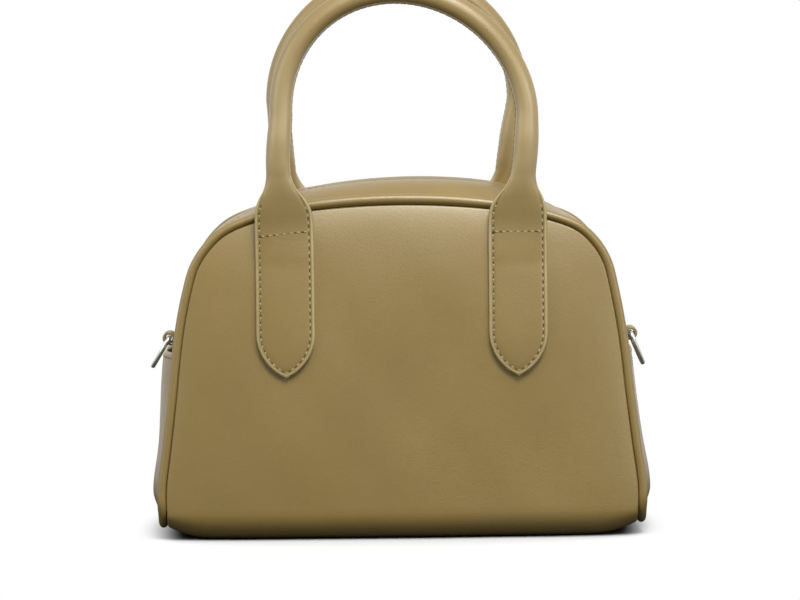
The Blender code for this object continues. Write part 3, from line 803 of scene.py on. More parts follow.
def all_finishes() -> dict[str, bpy.types.Material]:
    """Every finish of the bag, made once, by its short name."""
    kinds = {
        "panel": Leather("khaki_panel", seam_reach=0.0012),
        "plain": Leather("khaki_plain"),
        "strap": Leather("khaki_strap", paint_reach=0.0014, channel=0.0022, painted_handle_light=True),
        "gusset": Leather("khaki_gusset", paint_reach=0.0010, channel=0.0026),
        "paint": Plain("edge_paint", (0.40, 0.315, 0.130), 0.38),
        "thread": Plain("thread", (0.41, 0.325, 0.150), 0.60, 2600.0),
        "hole_shade": Plain("needle_hole_shade", (0.075, 0.048, 0.016), 0.80),
        "lining": Weave("lining_cloth", (0.210, 0.165, 0.090)),
        "tape": Weave("zip_tape", (0.225, 0.170, 0.075), 2200.0),
        "teeth": Plain("zip_teeth", (0.240, 0.185, 0.085), 0.35),
        "metal": Metal("nickel"),
        "board": Plain("board", (0.180, 0.170, 0.155), 0.90, 500.0),
    }
    return {name: kind.make() for name, kind in kinds.items()}


@dataclass(frozen=True)
class BagShape:
    """The bag's own sizes in metres, and the surfaces that every piece is set on."""

    gap: float = 0.0003
    half_wide: float = 0.1152
    height: float = 0.1626
    crown_radius: float = 0.385
    crown_half: float = 0.04896
    base_depth: float = 0.052
    top_depth: float = 0.044
    panel_bulge: float = 0.005
    bulge_powers: tuple[float, float] = (4.0, 5.0)
    leather: float = 0.002
    bend_height: float = 0.072
    base_radius: float = 0.013
    edge_lift: float = 0.0058
    flat_base: float = 0.80
    piping: float = 0.0026
    piping_set: float = 0.001
    pressed: float = 0.00045
    pressed_from: tuple[float, float] = (0.020, 0.080)
    gusset_top: float = 0.091
    edge_rise: float = 0.0006
    shoulder: float = 0.867
    roll: float = 0.0012
    roll_reach: float = 0.0055
    bend_start: float = 0.091
    bend_end: float = 0.140
    waves: tuple = (
        (0.00030, 0.190, 0.130, 0.7), (0.00022, 0.083, -0.110, 2.1), (0.00010, 0.047, 0.061, 4.0),
    )
    fuller_at: tuple[float, float] = (0.094, 0.148)
    fuller_reach: tuple[float, float] = (0.022, 0.026)
    fuller_move: tuple[float, float, float] = (0.0014, 0.0, 0.0009)
    outline_shares: tuple = (
        (0.983, 0.000), (0.998, 0.075), (1.000, 0.155), (0.976, 0.289), (0.952, 0.430),
        (0.932, 0.560), (0.911, 0.658), (0.885, 0.744), (0.856, 0.812), (0.807, 0.867),
        (0.738, 0.913), (0.642, 0.944), (0.520, 0.968),
    )

    def __post_init__(self) -> None:
        """Works out the right half of the outline, from the base up to the apex."""
        centre = self.height - self.crown_radius
        angle = np.linspace(math.asin(self.crown_half / self.crown_radius), 0.0, 24)
        crown = np.stack(
            [self.crown_radius * np.sin(angle), centre + self.crown_radius * np.cos(angle)], -1
        )
        side = np.array(self.outline_shares) * [self.half_wide, self.height]
        curve = through_points(np.vstack([side, crown[:3:2]]), 16)
        object.__setattr__(self, "outline", np.vstack([curve[: 16 * len(side)], crown]))

    def half_width(self, z: np.ndarray) -> np.ndarray:
        """Half the panel's width at a height, read off the outline."""
        return np.maximum(np.interp(z, self.outline[:, 1], self.outline[:, 0]), self.gap)

    def side_width(self, z: np.ndarray) -> np.ndarray:
        """Half the width at a height, with straight sides below the base's round."""
        return self.half_width(np.maximum(z, self.base_radius))

    def crown_height(self, x: np.ndarray) -> np.ndarray:
        """Height of the panel's upper edge at a distance from the middle."""
        upper = self.outline[self.outline[:, 1] > self.bend_height][::-1]
        return np.interp(np.abs(x), upper[:, 0], upper[:, 1])

    def half_depth(self, z: np.ndarray) -> np.ndarray:
        """Distance of the seams from the middle plane, falling evenly with height."""
        return self.base_depth + (self.top_depth - self.base_depth) * z / self.height

    def bulge(self, x: np.ndarray, z: np.ndarray) -> np.ndarray:
        """How far a panel stands proud: one less a power of the share out, both ways."""
        across = 1.0 - np.clip(np.abs(x) / self.half_width(z), 0.0, 1.0) ** self.bulge_powers[0]
        up = 1.0 - np.clip(z / self.crown_height(x), 0.0, 1.0) ** self.bulge_powers[1]
        return self.panel_bulge * across * up

    def ripple(self, x: np.ndarray, z: np.ndarray) -> np.ndarray:
        """Soft unevenness of the sheet: three long sine waves that fade at the seams."""
        waves = sum(
            high * np.sin(2.0 * math.pi * (x / wide + z / tall) + start)
            for high, wide, tall, start in self.waves
        )
        return waves * self.bulge(x, z) / self.panel_bulge

    def face(self, x: np.ndarray, z: np.ndarray) -> np.ndarray:
        """Depth of a panel's outer face: the seam's depth, the bulge, the ripple and a roll.

        The roll rises from the seam as one less an exponential of the distance.
        """
        roll = 1.0 - np.exp(-self.edge_distance(x, z) / self.roll_reach)
        return self.half_depth(z) + self.bulge(x, z) + self.ripple(x, z) + self.roll * roll

    def edge_distance(self, x: np.ndarray, z: np.ndarray) -> np.ndarray:
        """Rough distance inside the outline: the smaller of the ways out and up."""
        out = self.half_width(z) - np.abs(x)
        up = self.crown_height(x) - z
        out, up = np.maximum(out, 0.0), np.maximum(up, 0.0)
        return out * up / np.sqrt(out**2 + up**2 + 1e-10)

    def cord_radius(self, x: np.ndarray) -> np.ndarray:
        """The piping's radius: full over the crown and a little pressed at the sides."""
        return self.piping - self.pressed * smoothstep(np.abs(x), *self.pressed_from)

    def arch(
        self, lowest: float, count: int, outside: float = 0.0
    ) -> tuple[np.ndarray, np.ndarray]:
        """Places and outward normals over the arch, left to right.

        Args:
            lowest: Height at which both ends start.
            count: Number of places, even along the length.
            outside: Distance that the places are set outside the outline.

        Returns:
            The places and the unit normals, in x and z.
        """
        right = self.outline[self.outline[:, 1] >= lowest]
        right = np.vstack([[[float(self.half_width(lowest)), lowest]], right])
        path = np.vstack([right * [-1.0, 1.0], right[::-1][1:]])
        points = along(path, np.linspace(0.0, 1.0, count))
        ahead = unit(np.gradient(points, axis=0))
        normals = np.stack([-ahead[:, 1], ahead[:, 0]], axis=-1)
        return points + outside * normals, normals

    def dome(self, lowest: float, inset: float, across: np.ndarray, up: np.ndarray) -> np.ndarray:
        """Places in x and z that fill the dome above one height, inside its outline.

        Args:
            lowest: Height of the lower edge.
            inset: Distance inside the outline.
            across: Shares from left to right.
            up: Shares from the lower edge to the crown.

        Returns:
            Places in rows from the bottom up.
        """
        path, _ = self.arch(lowest, 961, -inset)
        path[[0, -1], 1] = lowest
        turn = int(np.argmax(path[:, 1] > self.shoulder * self.height - inset))
        left = along(path[: turn + 1], up)
        top = along(path[turn : len(path) - turn], across)
        bottom = path[0] + (path[-1] - path[0]) * across[:, None]
        return coons(bottom, top, left, left * [-1.0, 1.0], across, up)

    def seam_distance(self, x: np.ndarray, z: np.ndarray) -> np.ndarray:
        """Distance of places on a panel from the seam round it, straight at the base."""
        path, _ = self.arch(self.base_radius, 2400)
        feet = np.linspace(self.base_radius, -self.base_radius, 120)[:, None]
        sides = [np.hstack([feet * 0.0 + one, feet]) for one in (path[0, 0], path[-1, 0])]
        return distance_to(np.stack([x, z], axis=-1), np.vstack([path, *sides]))

    def settled(self, points: np.ndarray) -> np.ndarray:
        """The bag as it really stands: its right shoulder is a little fuller.

        The move is a bell curve round that shoulder, outwards and up.
        """
        off = (points[..., [0, 2]] - self.fuller_at) / self.fuller_reach
        bell = np.exp(-(off**2).sum(axis=-1, keepdims=True))
        return points + bell * self.fuller_move

    def hang(self, piece: bpy.types.Object, side: Side) -> None:
        """Bakes the transform of a piece of one face into its mesh; it does not bend."""
        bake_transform(piece)


@dataclass(frozen=True)
class Stitching:
    """Rows of short threads that dip into needle holes, each hole a dark bead of painted shade."""

    pitch: float = 0.0035
    thread_length: float = 0.0015
    half_wide: float = 0.00036
    half_high: float = 0.00026
    hole_length: float = 0.0016
    hole_half_wide: float = 0.00044
    hole_high_share: float = 0.4
    hole_shift: float = 0.38

    def rows_on(self, surface: Surface, path: np.ndarray, normals: np.ndarray) -> None:
        """Adds the threads and the dark beads of painted shade in the holes of one row.

        Args:
            surface: The mesh that they join, with thread as look 0 and hole shade as look 1.
            path: Points of the row, on the leather.
            normals: The leather's outward normal at each point.
        """
        count = max(2, int(round(lengths_along(path)[-1] / self.pitch)))
        shares = (np.arange(count) + 0.5) / count
        thread = (self.thread_length, self.half_wide, self.half_high)
        hole_shade = (self.hole_length, self.hole_half_wide, self.half_high * self.hole_high_share)
        surface.add_tube(self.beads(path, normals, shares, thread))
        shares = shares - self.hole_shift / count
        surface.add_tube(self.beads(path, normals, shares, hole_shade), look=1)

    @staticmethod
    def beads(
        path: np.ndarray, normals: np.ndarray, shares: np.ndarray, size: tuple
    ) -> np.ndarray:
        """Long beads: rings of an ellipse that swells and closes along the row.

        Args:
            path: Points of the row, on the leather.
            normals: The leather's outward normal at each point.
            shares: Place of each bead, as a share of the row's length.
            size: Length of a bead, half its width and its height over the leather.

        Returns:
            Points of every bead, as a batch of rings.
        """
        table = along(np.hstack([path, normals * FAINT]), shares)
        ahead, normal = heading(path, shares), unit(table[:, 3:])
        run = np.array([-0.5, -0.36, 0.0, 0.36, 0.5]) * size[0]
        swell = np.array([0.12, 0.80, 1.0, 0.80, 0.12])[:, None, None]
        rings = circle(1.0, 6) * swell * size[1:]
        return strung(table[:, :3], (ahead, np.cross(ahead, normal), normal), run, rings)


@dataclass
class Assembly:
    """What each sub-assembly is made from, and how its pieces join the bag."""

    shape: BagShape
    finishes: dict[str, bpy.types.Material]

    def piece(
        self,
        surface: Surface,
        name: str,
        looks: tuple[str, ...],
        slot: str,
        nodes: tuple[str, ...] = (),
        holder: str | Side | None = "body",
    ) -> bpy.types.Object:
        """Makes one piece, dresses it and hangs it on what carries it.

        Args:
            surface: Its grids.
            name: Its name.
            looks: Short names of its finishes, in the order of the look numbers.
            slot: Not used.
            nodes: The solids that it stands for.
            holder: The body that it rides on, the face that it belongs to, or neither.

        Returns:
            The piece.
        """
        piece = surface.make(name, [self.finishes[look] for look in looks])
        if nodes:
            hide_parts(*nodes)
        if isinstance(holder, Side):
            self.shape.hang(piece, holder)
        elif holder:
            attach(piece, holder)
        return piece

    def stitches(
        self,
        name: str,
        rows: list[tuple[np.ndarray, np.ndarray]],
        holder: str | Side | None = "body",
    ) -> bpy.types.Object:
        """Makes a piece of stitch rows.

        Args:
            name: The piece's name.
            rows: Points and normals of each row.
            holder: What carries it, as for any piece.

        Returns:
            The piece.
        """
        surface = Surface()
        for path, normals in rows:
            Stitching().rows_on(surface, path, normals)
        return self.piece(surface, name, ("thread", "hole_shade"), "khaki_trim", holder=holder)


@dataclass
class BodyLeather(Assembly):
    """A long face of the bag in one sheet: panel, lower round and half of the base."""

    round_rows: int = 11
    base_rows: int = 7
    edge_roll: float = 0.0010
    lining: float = 0.0008
    lining_inset: float = 0.0036
    board: float = 0.0016

    def sheet(
        self, side: Side, insets: tuple[float, float, float], columns: int, rows: int
    ) -> tuple[np.ndarray, np.ndarray]:
        """The sheet's outer face: depth as a function of the place on the dome.

        The lower round is a quarter ellipse from the wall to the floor, and the floor
        rises as a square towards the two short sides.

        Args:
            side: Front or back.
            insets: Distances inside the outer face, over the lowest and inside the outline.
            columns: Columns from left to right.
            rows: Rows of the dome.

        Returns:
            Points from the base's middle line up to the crown, and seam distances.
        """
        shape = self.shape
        wall_inset, floor_inset, side_inset = insets
        wall_end = shape.base_radius + floor_inset
        across, up = dense_ends(columns, 0.96), dense_last(rows, 0.95)
        flat = shape.dome(wall_end, side_inset, across, up)
        x, z = flat[..., 0], flat[..., 1]
        dome = np.stack([x, shape.face(x, z) - wall_inset, z], axis=-1)
        x = dome[0, :, 0][None]
        share = np.abs(x) / (shape.side_width(0.0) - side_inset)
        lifted = np.clip((share - shape.flat_base) / (1.0 - shape.flat_base), 0.0, 1.0)
        floor = shape.edge_lift * lifted**2 + floor_inset
        angle = np.linspace(math.pi / 2.0, 0.0, self.round_rows, endpoint=False)[:, None]
        low_z = floor + (wall_end - floor) * (1.0 - np.sin(angle))
        wall_y = dome[0, :, 1][None]
        low_y = wall_y - (shape.base_radius - wall_inset) * (1.0 - np.cos(angle))
        low = np.stack([x + low_z * 0.0, low_y, low_z], axis=-1)
        share = np.linspace(0.0, 1.0, self.base_rows, endpoint=False)[:, None]
        still = share * 0.0
        under = np.stack([x + still, low[0, :, 1][None] * share, floor + still], axis=-1)
        sheet = np.concatenate([under, low, dome])
        distance = shape.seam_distance(sheet[..., 0], np.maximum(sheet[..., 2], 0.0))
        return sheet * [1.0, side.value, 1.0], np.abs(distance)

    def build(self, side: Side) -> None:
        """Makes the leather of one face, rolled into its seam all round.

        Args:
            side: Front or back.
        """
        shape = self.shape
        sheet, distance = self.sheet(side, (0.0, 0.0, 0.0), 131, 71)
        uv = np.stack([sheet[..., 0], distance], axis=-1)
        fall = rounding(distance, self.edge_roll)
        surface = Surface()
        surface.add_sheet(sheet, side.outward, shape.leather, uv, fall, settle=shape.settled)
        nodes = (f"{side.word}_panel", "base_wrap")
        self.piece(surface, f"{side.word}_leather", ("panel",), "khaki_skin", nodes, side)

    def build_lining(self, side: Side) -> None:
        """Makes the cloth inside one face, down to the middle of the base.

        Args:
            side: Front or back.
        """
        shape = self.shape
        floor = shape.leather + 2.0 * shape.gap + self.board
        insets = (shape.leather + shape.gap, floor, self.lining_inset)
        sheet, _ = self.sheet(side, insets, 61, 41)
        surface = Surface()
        surface.add_sheet(sheet, side.outward, self.lining, settle=shape.settled)
        nodes = (f"{side.word}_lining", "base_lining")
        name = f"{side.word}_lining_cloth"
        self.piece(surface, name, ("lining",), "lining_cloth", nodes, side)


@dataclass
class Piping(Assembly):
    """A leather-covered cord in the seam round each face and under the base's ends."""

    around: int = 22
    overlap: float = 0.0006
    tuck_up: float = 0.0004
    pressed_in: float = 0.0002

    def build_arch(self, side: Side) -> None:
        """Makes the cord over the arch: a circle carried along the outline.

        Args:
            side: Front or back.
        """
        shape = self.shape
        lowest = shape.bend_height - self.overlap
        flat, normals = shape.arch(lowest, 421)
        radius = shape.cord_radius(flat[:, 0])
        flat = flat + normals * (radius - self.pressed_in)[:, None]
        flat[[0, -1], 1] = lowest
        y = side.value * (shape.half_depth(flat[:, 1]) - shape.piping_set)
        path = np.stack([flat[:, 0], y, flat[:, 1]], axis=-1)
        rings = swept(path, (0.0, 1.0, 0.0), circle(1.0, self.around) * radius[:, None, None])
        surface = Surface()
        surface.add_tube(shape.settled(rings))
        nodes = (f"{side.word}_piping",)
        self.piece(surface, f"{side.word}_piping_cord", ("plain",), "khaki_trim", nodes, side)

    def build_base(self, hand: Hand) -> None:
        """Makes the cord down one side, back under the base's end and up again.

        Args:
            hand: Left or right.
        """
        shape = self.shape
        radius = float(shape.cord_radius(shape.half_wide))
        out = radius - self.pressed_in
        low = shape.edge_lift + shape.piping_set + self.tuck_up
        bend = shape.base_radius - shape.piping_set
        z = np.linspace(shape.bend_height + self.overlap, low + bend, 24)
        wall = np.stack([shape.side_width(z) + out, shape.piping_set - shape.half_depth(z), z], -1)
        corner_y = shape.half_depth(low + bend) - shape.piping_set - bend
        angle = np.linspace(0.0, math.pi / 2.0, 14)[1:]
        z = low + bend * (1.0 - np.sin(angle))
        turn = np.stack([shape.side_width(z) + out, -corner_y - bend * np.cos(angle), z], -1)
        flat = np.linspace(1.0, 0.0, 10)[1:, None] * [0.0, -corner_y, 0.0]
        flat = flat + [turn[-1, 0], 0.0, turn[-1, 2]]
        half = np.vstack([wall, turn, flat])
        path = np.vstack([half, half[::-1][1:] * [1.0, -1.0, 1.0]]) * [hand.value, 1.0, 1.0]
        rings = swept(path, (1.0, 0.0, 0.0), circle(radius, self.around))
        surface = Surface()
        surface.add_tube(shape.settled(rings))
        name = f"{hand.word}_base_piping"
        self.piece(surface, f"{name}_cord", ("plain",), "khaki_trim", (name,))


@dataclass
class SideGusset(Assembly):
    """The lower side gusset with its painted, stitched top edge, and its lining."""

    sheet: float = 0.0018
    bulge: float = 0.0034
    swell: float = 0.0012
    swell_height: float = 0.022
    swell_reach: float = 0.020
    tuck: float = 0.012
    flare: float = 0.0042
    dimple: float = 0.90
    dimple_reach: float = 0.016
    stitch_inset: float = 0.0026
    edge_gap: float = 0.0001
    stay_out: float = 0.0004
    stay_crown: float = 0.0022
    edge_roll: float = 0.0009
    stay: float = 0.0006
    stay_heights: tuple[float, float] = (0.083, 0.0970)
    lining: float = 0.0008
    lining_inset: float = 0.004
    crown_power: float = 2.5
    row_power: float = 1.3
    flare_heights: tuple[float, float] = (0.030, 0.084)

    def grid(self, hand: Hand, inset: float, columns: int, rows: int) -> np.ndarray:
        """The gusset's outer face: a crowned sheet from the base's edge to its top.

        The columns are crowned as one less a power of the share out, and the sheet
        tucks in towards the base as a quarter sine.

        Args:
            hand: Left or right.
            inset: Distance inside the outer face.
            columns: Columns from front to back.
            rows: Rows from the base up.

        Returns:
            Points in rows.
        """
        shape = self.shape
        cord = float(shape.cord_radius(shape.half_wide))
        reach = shape.piping_set + cord + self.edge_gap
        lowest = shape.edge_lift + reach + inset
        corner = shape.base_radius - reach
        shares = np.sin(np.linspace(-math.pi / 2.0, math.pi / 2.0, columns))[None]
        deepest = shape.half_depth(lowest + corner) - reach - inset
        y = shares * deepest
        past = np.clip(np.abs(y) - (deepest - corner), 0.0, corner)
        bottom = lowest + corner - np.sqrt(corner**2 - past**2)
        rise = (np.linspace(0.0, 1.0, rows) ** self.row_power)[:, None]
        z = bottom + rise * (shape.gusset_top - bottom)
        narrowing = (shape.half_depth(z) - shape.half_depth(lowest + corner)) * np.abs(shares)
        y = y + np.sign(shares) * narrowing
        crowned = 1.0 - np.abs(shares) ** self.crown_power
        swell = self.swell * np.exp(-(((z - self.swell_height) / self.swell_reach) ** 2))
        tuck = np.sin(np.clip((z - bottom) / self.tuck, 0.0, 1.0) * math.pi / 2.0)
        x = shape.side_width(z) + shape.piping + shape.gap + shape.edge_rise - 2.0 * shape.pressed
        flare = self.flare * smoothstep(z, *self.flare_heights) * (hand is Hand.LEFT)
        flare = flare * (1.0 - self.dimple * np.exp(-((y / self.dimple_reach) ** 2)))
        x = x + (self.bulge + swell + flare + 2.0 * shape.pressed) * crowned * tuck - inset
        return np.stack([hand.value * x, y, z], axis=-1)

    def build(self, hand: Hand) -> None:
        """Makes the leather of one gusset with a rounded, painted top edge.

        Args:
            hand: Left or right.
        """
        grid = self.grid(hand, 0.0, 49, 61)
        distance = self.shape.gusset_top - grid[..., 2]
        uv = np.stack([grid[..., 1], distance], axis=-1)
        fall = rounding(distance, self.edge_roll)
        surface = Surface()
        surface.add_sheet(grid, hand.outward, self.sheet, uv, fall, rim_look=1)
        name = f"{hand.word}_gusset"
        self.piece(surface, f"{name}_leather", ("gusset", "paint"), "khaki_skin", (name,))

    def build_stitches(self, hand: Hand) -> None:
        """Makes the stitch row under the gusset's top edge.

        Args:
            hand: Left or right.
        """
        grid = self.grid(hand, 0.0, 49, 200)
        height = self.shape.gusset_top - self.stitch_inset
        row = int(np.argmin(np.abs(grid[:, 24, 2] - height)))
        pick = np.s_[row, 3:-3]
        path = (grid[pick], grid_normals(grid, hand.outward)[pick])
        self.stitches(f"{hand.word}_gusset_stitches", [path])

    def build_stay(self, hand: Hand) -> None:
        """Makes the stay tape behind the joint of the gusset's top edge and the strips.

        Args:
            hand: Left or right.
        """
        shape = self.shape
        share = np.linspace(-1.0, 1.0, 33)[None]
        z = np.linspace(*self.stay_heights, 9)[:, None]
        y = share * (shape.half_depth(z) - shape.piping_set)
        crowned = 1.0 - np.abs(share) ** self.crown_power
        x = shape.side_width(z) + self.stay_out + self.stay_crown * crowned
        grid = np.stack([hand.value * x, y, z + share * 0.0], axis=-1)
        surface = Surface()
        surface.add_sheet(grid, hand.outward, self.stay)
        self.piece(surface, f"{hand.word}_stay_tape", ("tape",), "zip_tape")

    def build_lining(self, hand: Hand) -> None:
        """Makes the cloth inside one gusset.

        Args:
            hand: Left or right.
        """
        surface = Surface()
        face = self.grid(hand, self.sheet + self.lining_inset, 25, 25)
        surface.add_sheet(face, hand.outward, self.lining)
        name = f"{hand.word}_lining"
        self.piece(surface, f"{name}_cloth", ("lining",), "lining_cloth", (name,))


@dataclass
class Crown(Assembly):
    """The top gusset's strip on each side of the zip, and the zip's tape and teeth."""

    sheet: float = 0.0018
    profile: tuple = (
        (-0.098, 0.0037, 0.0026), (-0.085, 0.0037, 0.0026), (-0.073, 0.0058, 0.0034),
        (-0.062, 0.0083, 0.0056), (-0.052, 0.0103, 0.0079), (-0.041, 0.0115, 0.0080),
        (-0.024, 0.0137, 0.0080), (0.000, 0.0157, 0.0080), (0.024, 0.0165, 0.0080),
        (0.041, 0.0162, 0.0080), (0.052, 0.0145, 0.0079), (0.062, 0.0115, 0.0062),
        (0.073, 0.0075, 0.0040), (0.084, 0.0038, 0.0028), (0.098, 0.0037, 0.0026),
    )
    lowest: float = 0.0917
    slot: float = 0.005
    edge_gap: float = 0.0001
    edge_roll: float = 0.0009
    tape: float = 0.0008
    tape_reach: float = 0.011
    tape_edge: float = 0.00003
    tooth_pitch: float = 0.0024
    tooth_length: float = 0.0010
    tooth_high: float = 0.0020
    tooth_corner: float = 0.0003
    tooth_profile: tuple = (
        (0.0032, 0.55), (0.0030, 0.80), (0.0014, 0.85), (0.0009, 1.0), (0.0005, 0.85),
        (0.0003, 0.45),
    )
    sections: int = 301
    stitch_inset: float = 0.0024

    def heights(self, path: np.ndarray) -> tuple[np.ndarray, np.ndarray]:
        """Distances outside the outline of a strip's control line and of its zip edge."""
        curve = through_points(np.array(self.profile), 8)
        control, end = (np.interp(path[:, 0], curve[:, 0], one) for one in curve.T[1:])
        return control, end

    def strip(self, side: Side, rows: int, columns: int) -> tuple[np.ndarray, np.ndarray]:
        """A strip's outer face: a quadratic arc from the piping up and down to the zip.

        Args:
            side: Front or back.
            rows: Sections over the arch.
            columns: Points from the piping to the zip.

        Returns:
            Points, and for each its distance along the arc from the zip edge.
        """
        shape = self.shape
        path, normals = shape.arch(self.lowest, rows)
        control, end = self.heights(path)
        cord = shape.cord_radius(path[:, 0])
        start = (cord + shape.gap + shape.edge_rise)[:, None]
        outer = shape.half_depth(path[:, 1]) - shape.piping_set - cord - self.edge_gap
        share = dense_last(columns, 0.93)[None]
        out = start * (1.0 - share) ** 2 + end[:, None] * share**2
        out = out + 2.0 * control[:, None] * share * (1.0 - share)
        y = outer[:, None] * (1.0 - share) + self.slot * share
        x = path[:, 0][:, None] + normals[:, 0][:, None] * out
        z = path[:, 1][:, None] + normals[:, 1][:, None] * out
        grid = np.stack([x, side.value * y, z], axis=-1)
        steps = np.linalg.norm(np.diff(grid, axis=1), axis=-1)
        distance = np.cumsum(steps[:, ::-1], axis=1)[:, ::-1]
        return grid, np.hstack([distance, distance[:, :1] * 0.0])

    def build_strip(self, side: Side) -> None:
        """Makes the leather of one strip, rolled in along the zip.

        Args:
            side: Front or back.
        """
        grid, distance = self.strip(side, self.sections, 37)
        uv = np.stack([grid[..., 0], 0.01 + distance], axis=-1)
        fall = rounding(distance, self.edge_roll)
        surface = Surface()
        surface.add_sheet(grid, UP, self.sheet, uv, fall, settle=self.shape.settled)
        nodes = (f"{side.word}_top_strip",)
        self.piece(surface, f"{side.word}_crown_leather", ("plain",), "khaki_skin", nodes, side)

    def build_stitches(self, side: Side) -> None:
        """Makes the stitch row beside the zip.

        Args:
            side: Front or back.
        """
        grid, distance = self.strip(side, self.sections, 81)
        column = int(np.argmin(np.abs(distance[self.sections // 2] - self.stitch_inset)))
        pick = np.s_[2:-2, column]
        row = (self.shape.settled(grid[pick]), grid_normals(grid, UP)[pick])
        self.stitches(f"{side.word}_crown_stitches", [row], side)

    def build_tape(self, side: Side) -> None:
        """Makes one tape and its row of teeth, which stand between the other row's.

        Args:
            side: Front or back.
        """
        settled = self.shape.settled
        path, normals = self.shape.arch(self.lowest, 601)
        _, end = self.heights(path)
        middle = end - self.sheet - self.shape.gap - self.tape / 2.0
        line, up = (
            np.stack([flat[:, 0], flat[:, 0] * 0.0, flat[:, 1]], axis=-1)
            for flat in (path + normals * middle[:, None], normals)
        )
        y = np.linspace(self.tape_reach, self.tape_edge, 7)[None, :, None]
        face = line[::2, None] + y * np.array(side.outward)
        lift = up[::2, None] * self.tape / 2.0
        surface = Surface()
        surface.add_shell(settled(face + lift), settled(face - lift))
        surface.add_tube(settled(self.teeth(line, up, side)), look=1)
        nodes = (f"{side.word}_zip_tape",)
        self.piece(surface, f"{side.word}_zip_chain", ("tape", "teeth"), "zip_tape", nodes, side)

    def teeth(self, line: np.ndarray, up: np.ndarray, side: Side) -> np.ndarray:
        """Rounded teeth: rings of a rounded square that swell and close across the zip.

        Args:
            line: The zip's middle line.
            up: Its outward direction at each point.
            side: Front or back.

        Returns:
            Points of every tooth, as a batch of rings.
        """
        count = int(lengths_along(line)[-1] / self.tooth_pitch)
        shares = (np.arange(count) + (0.25 if side is Side.FRONT else 0.75)) / count
        table = along(np.hstack([line, up * FAINT]), shares)
        run, swell = np.array(self.tooth_profile).T
        half = (self.tooth_length / 2.0, self.tooth_high / 2.0)
        rings = rounded_bar(*half, self.tooth_corner)[::2] * swell[:, None, None]
        across = np.broadcast_to(side.outward, (count, 3))
        axes = (across, heading(line, shares), unit(table[:, 3:]))
        return strung(table[:, :3], axes, run, rings)


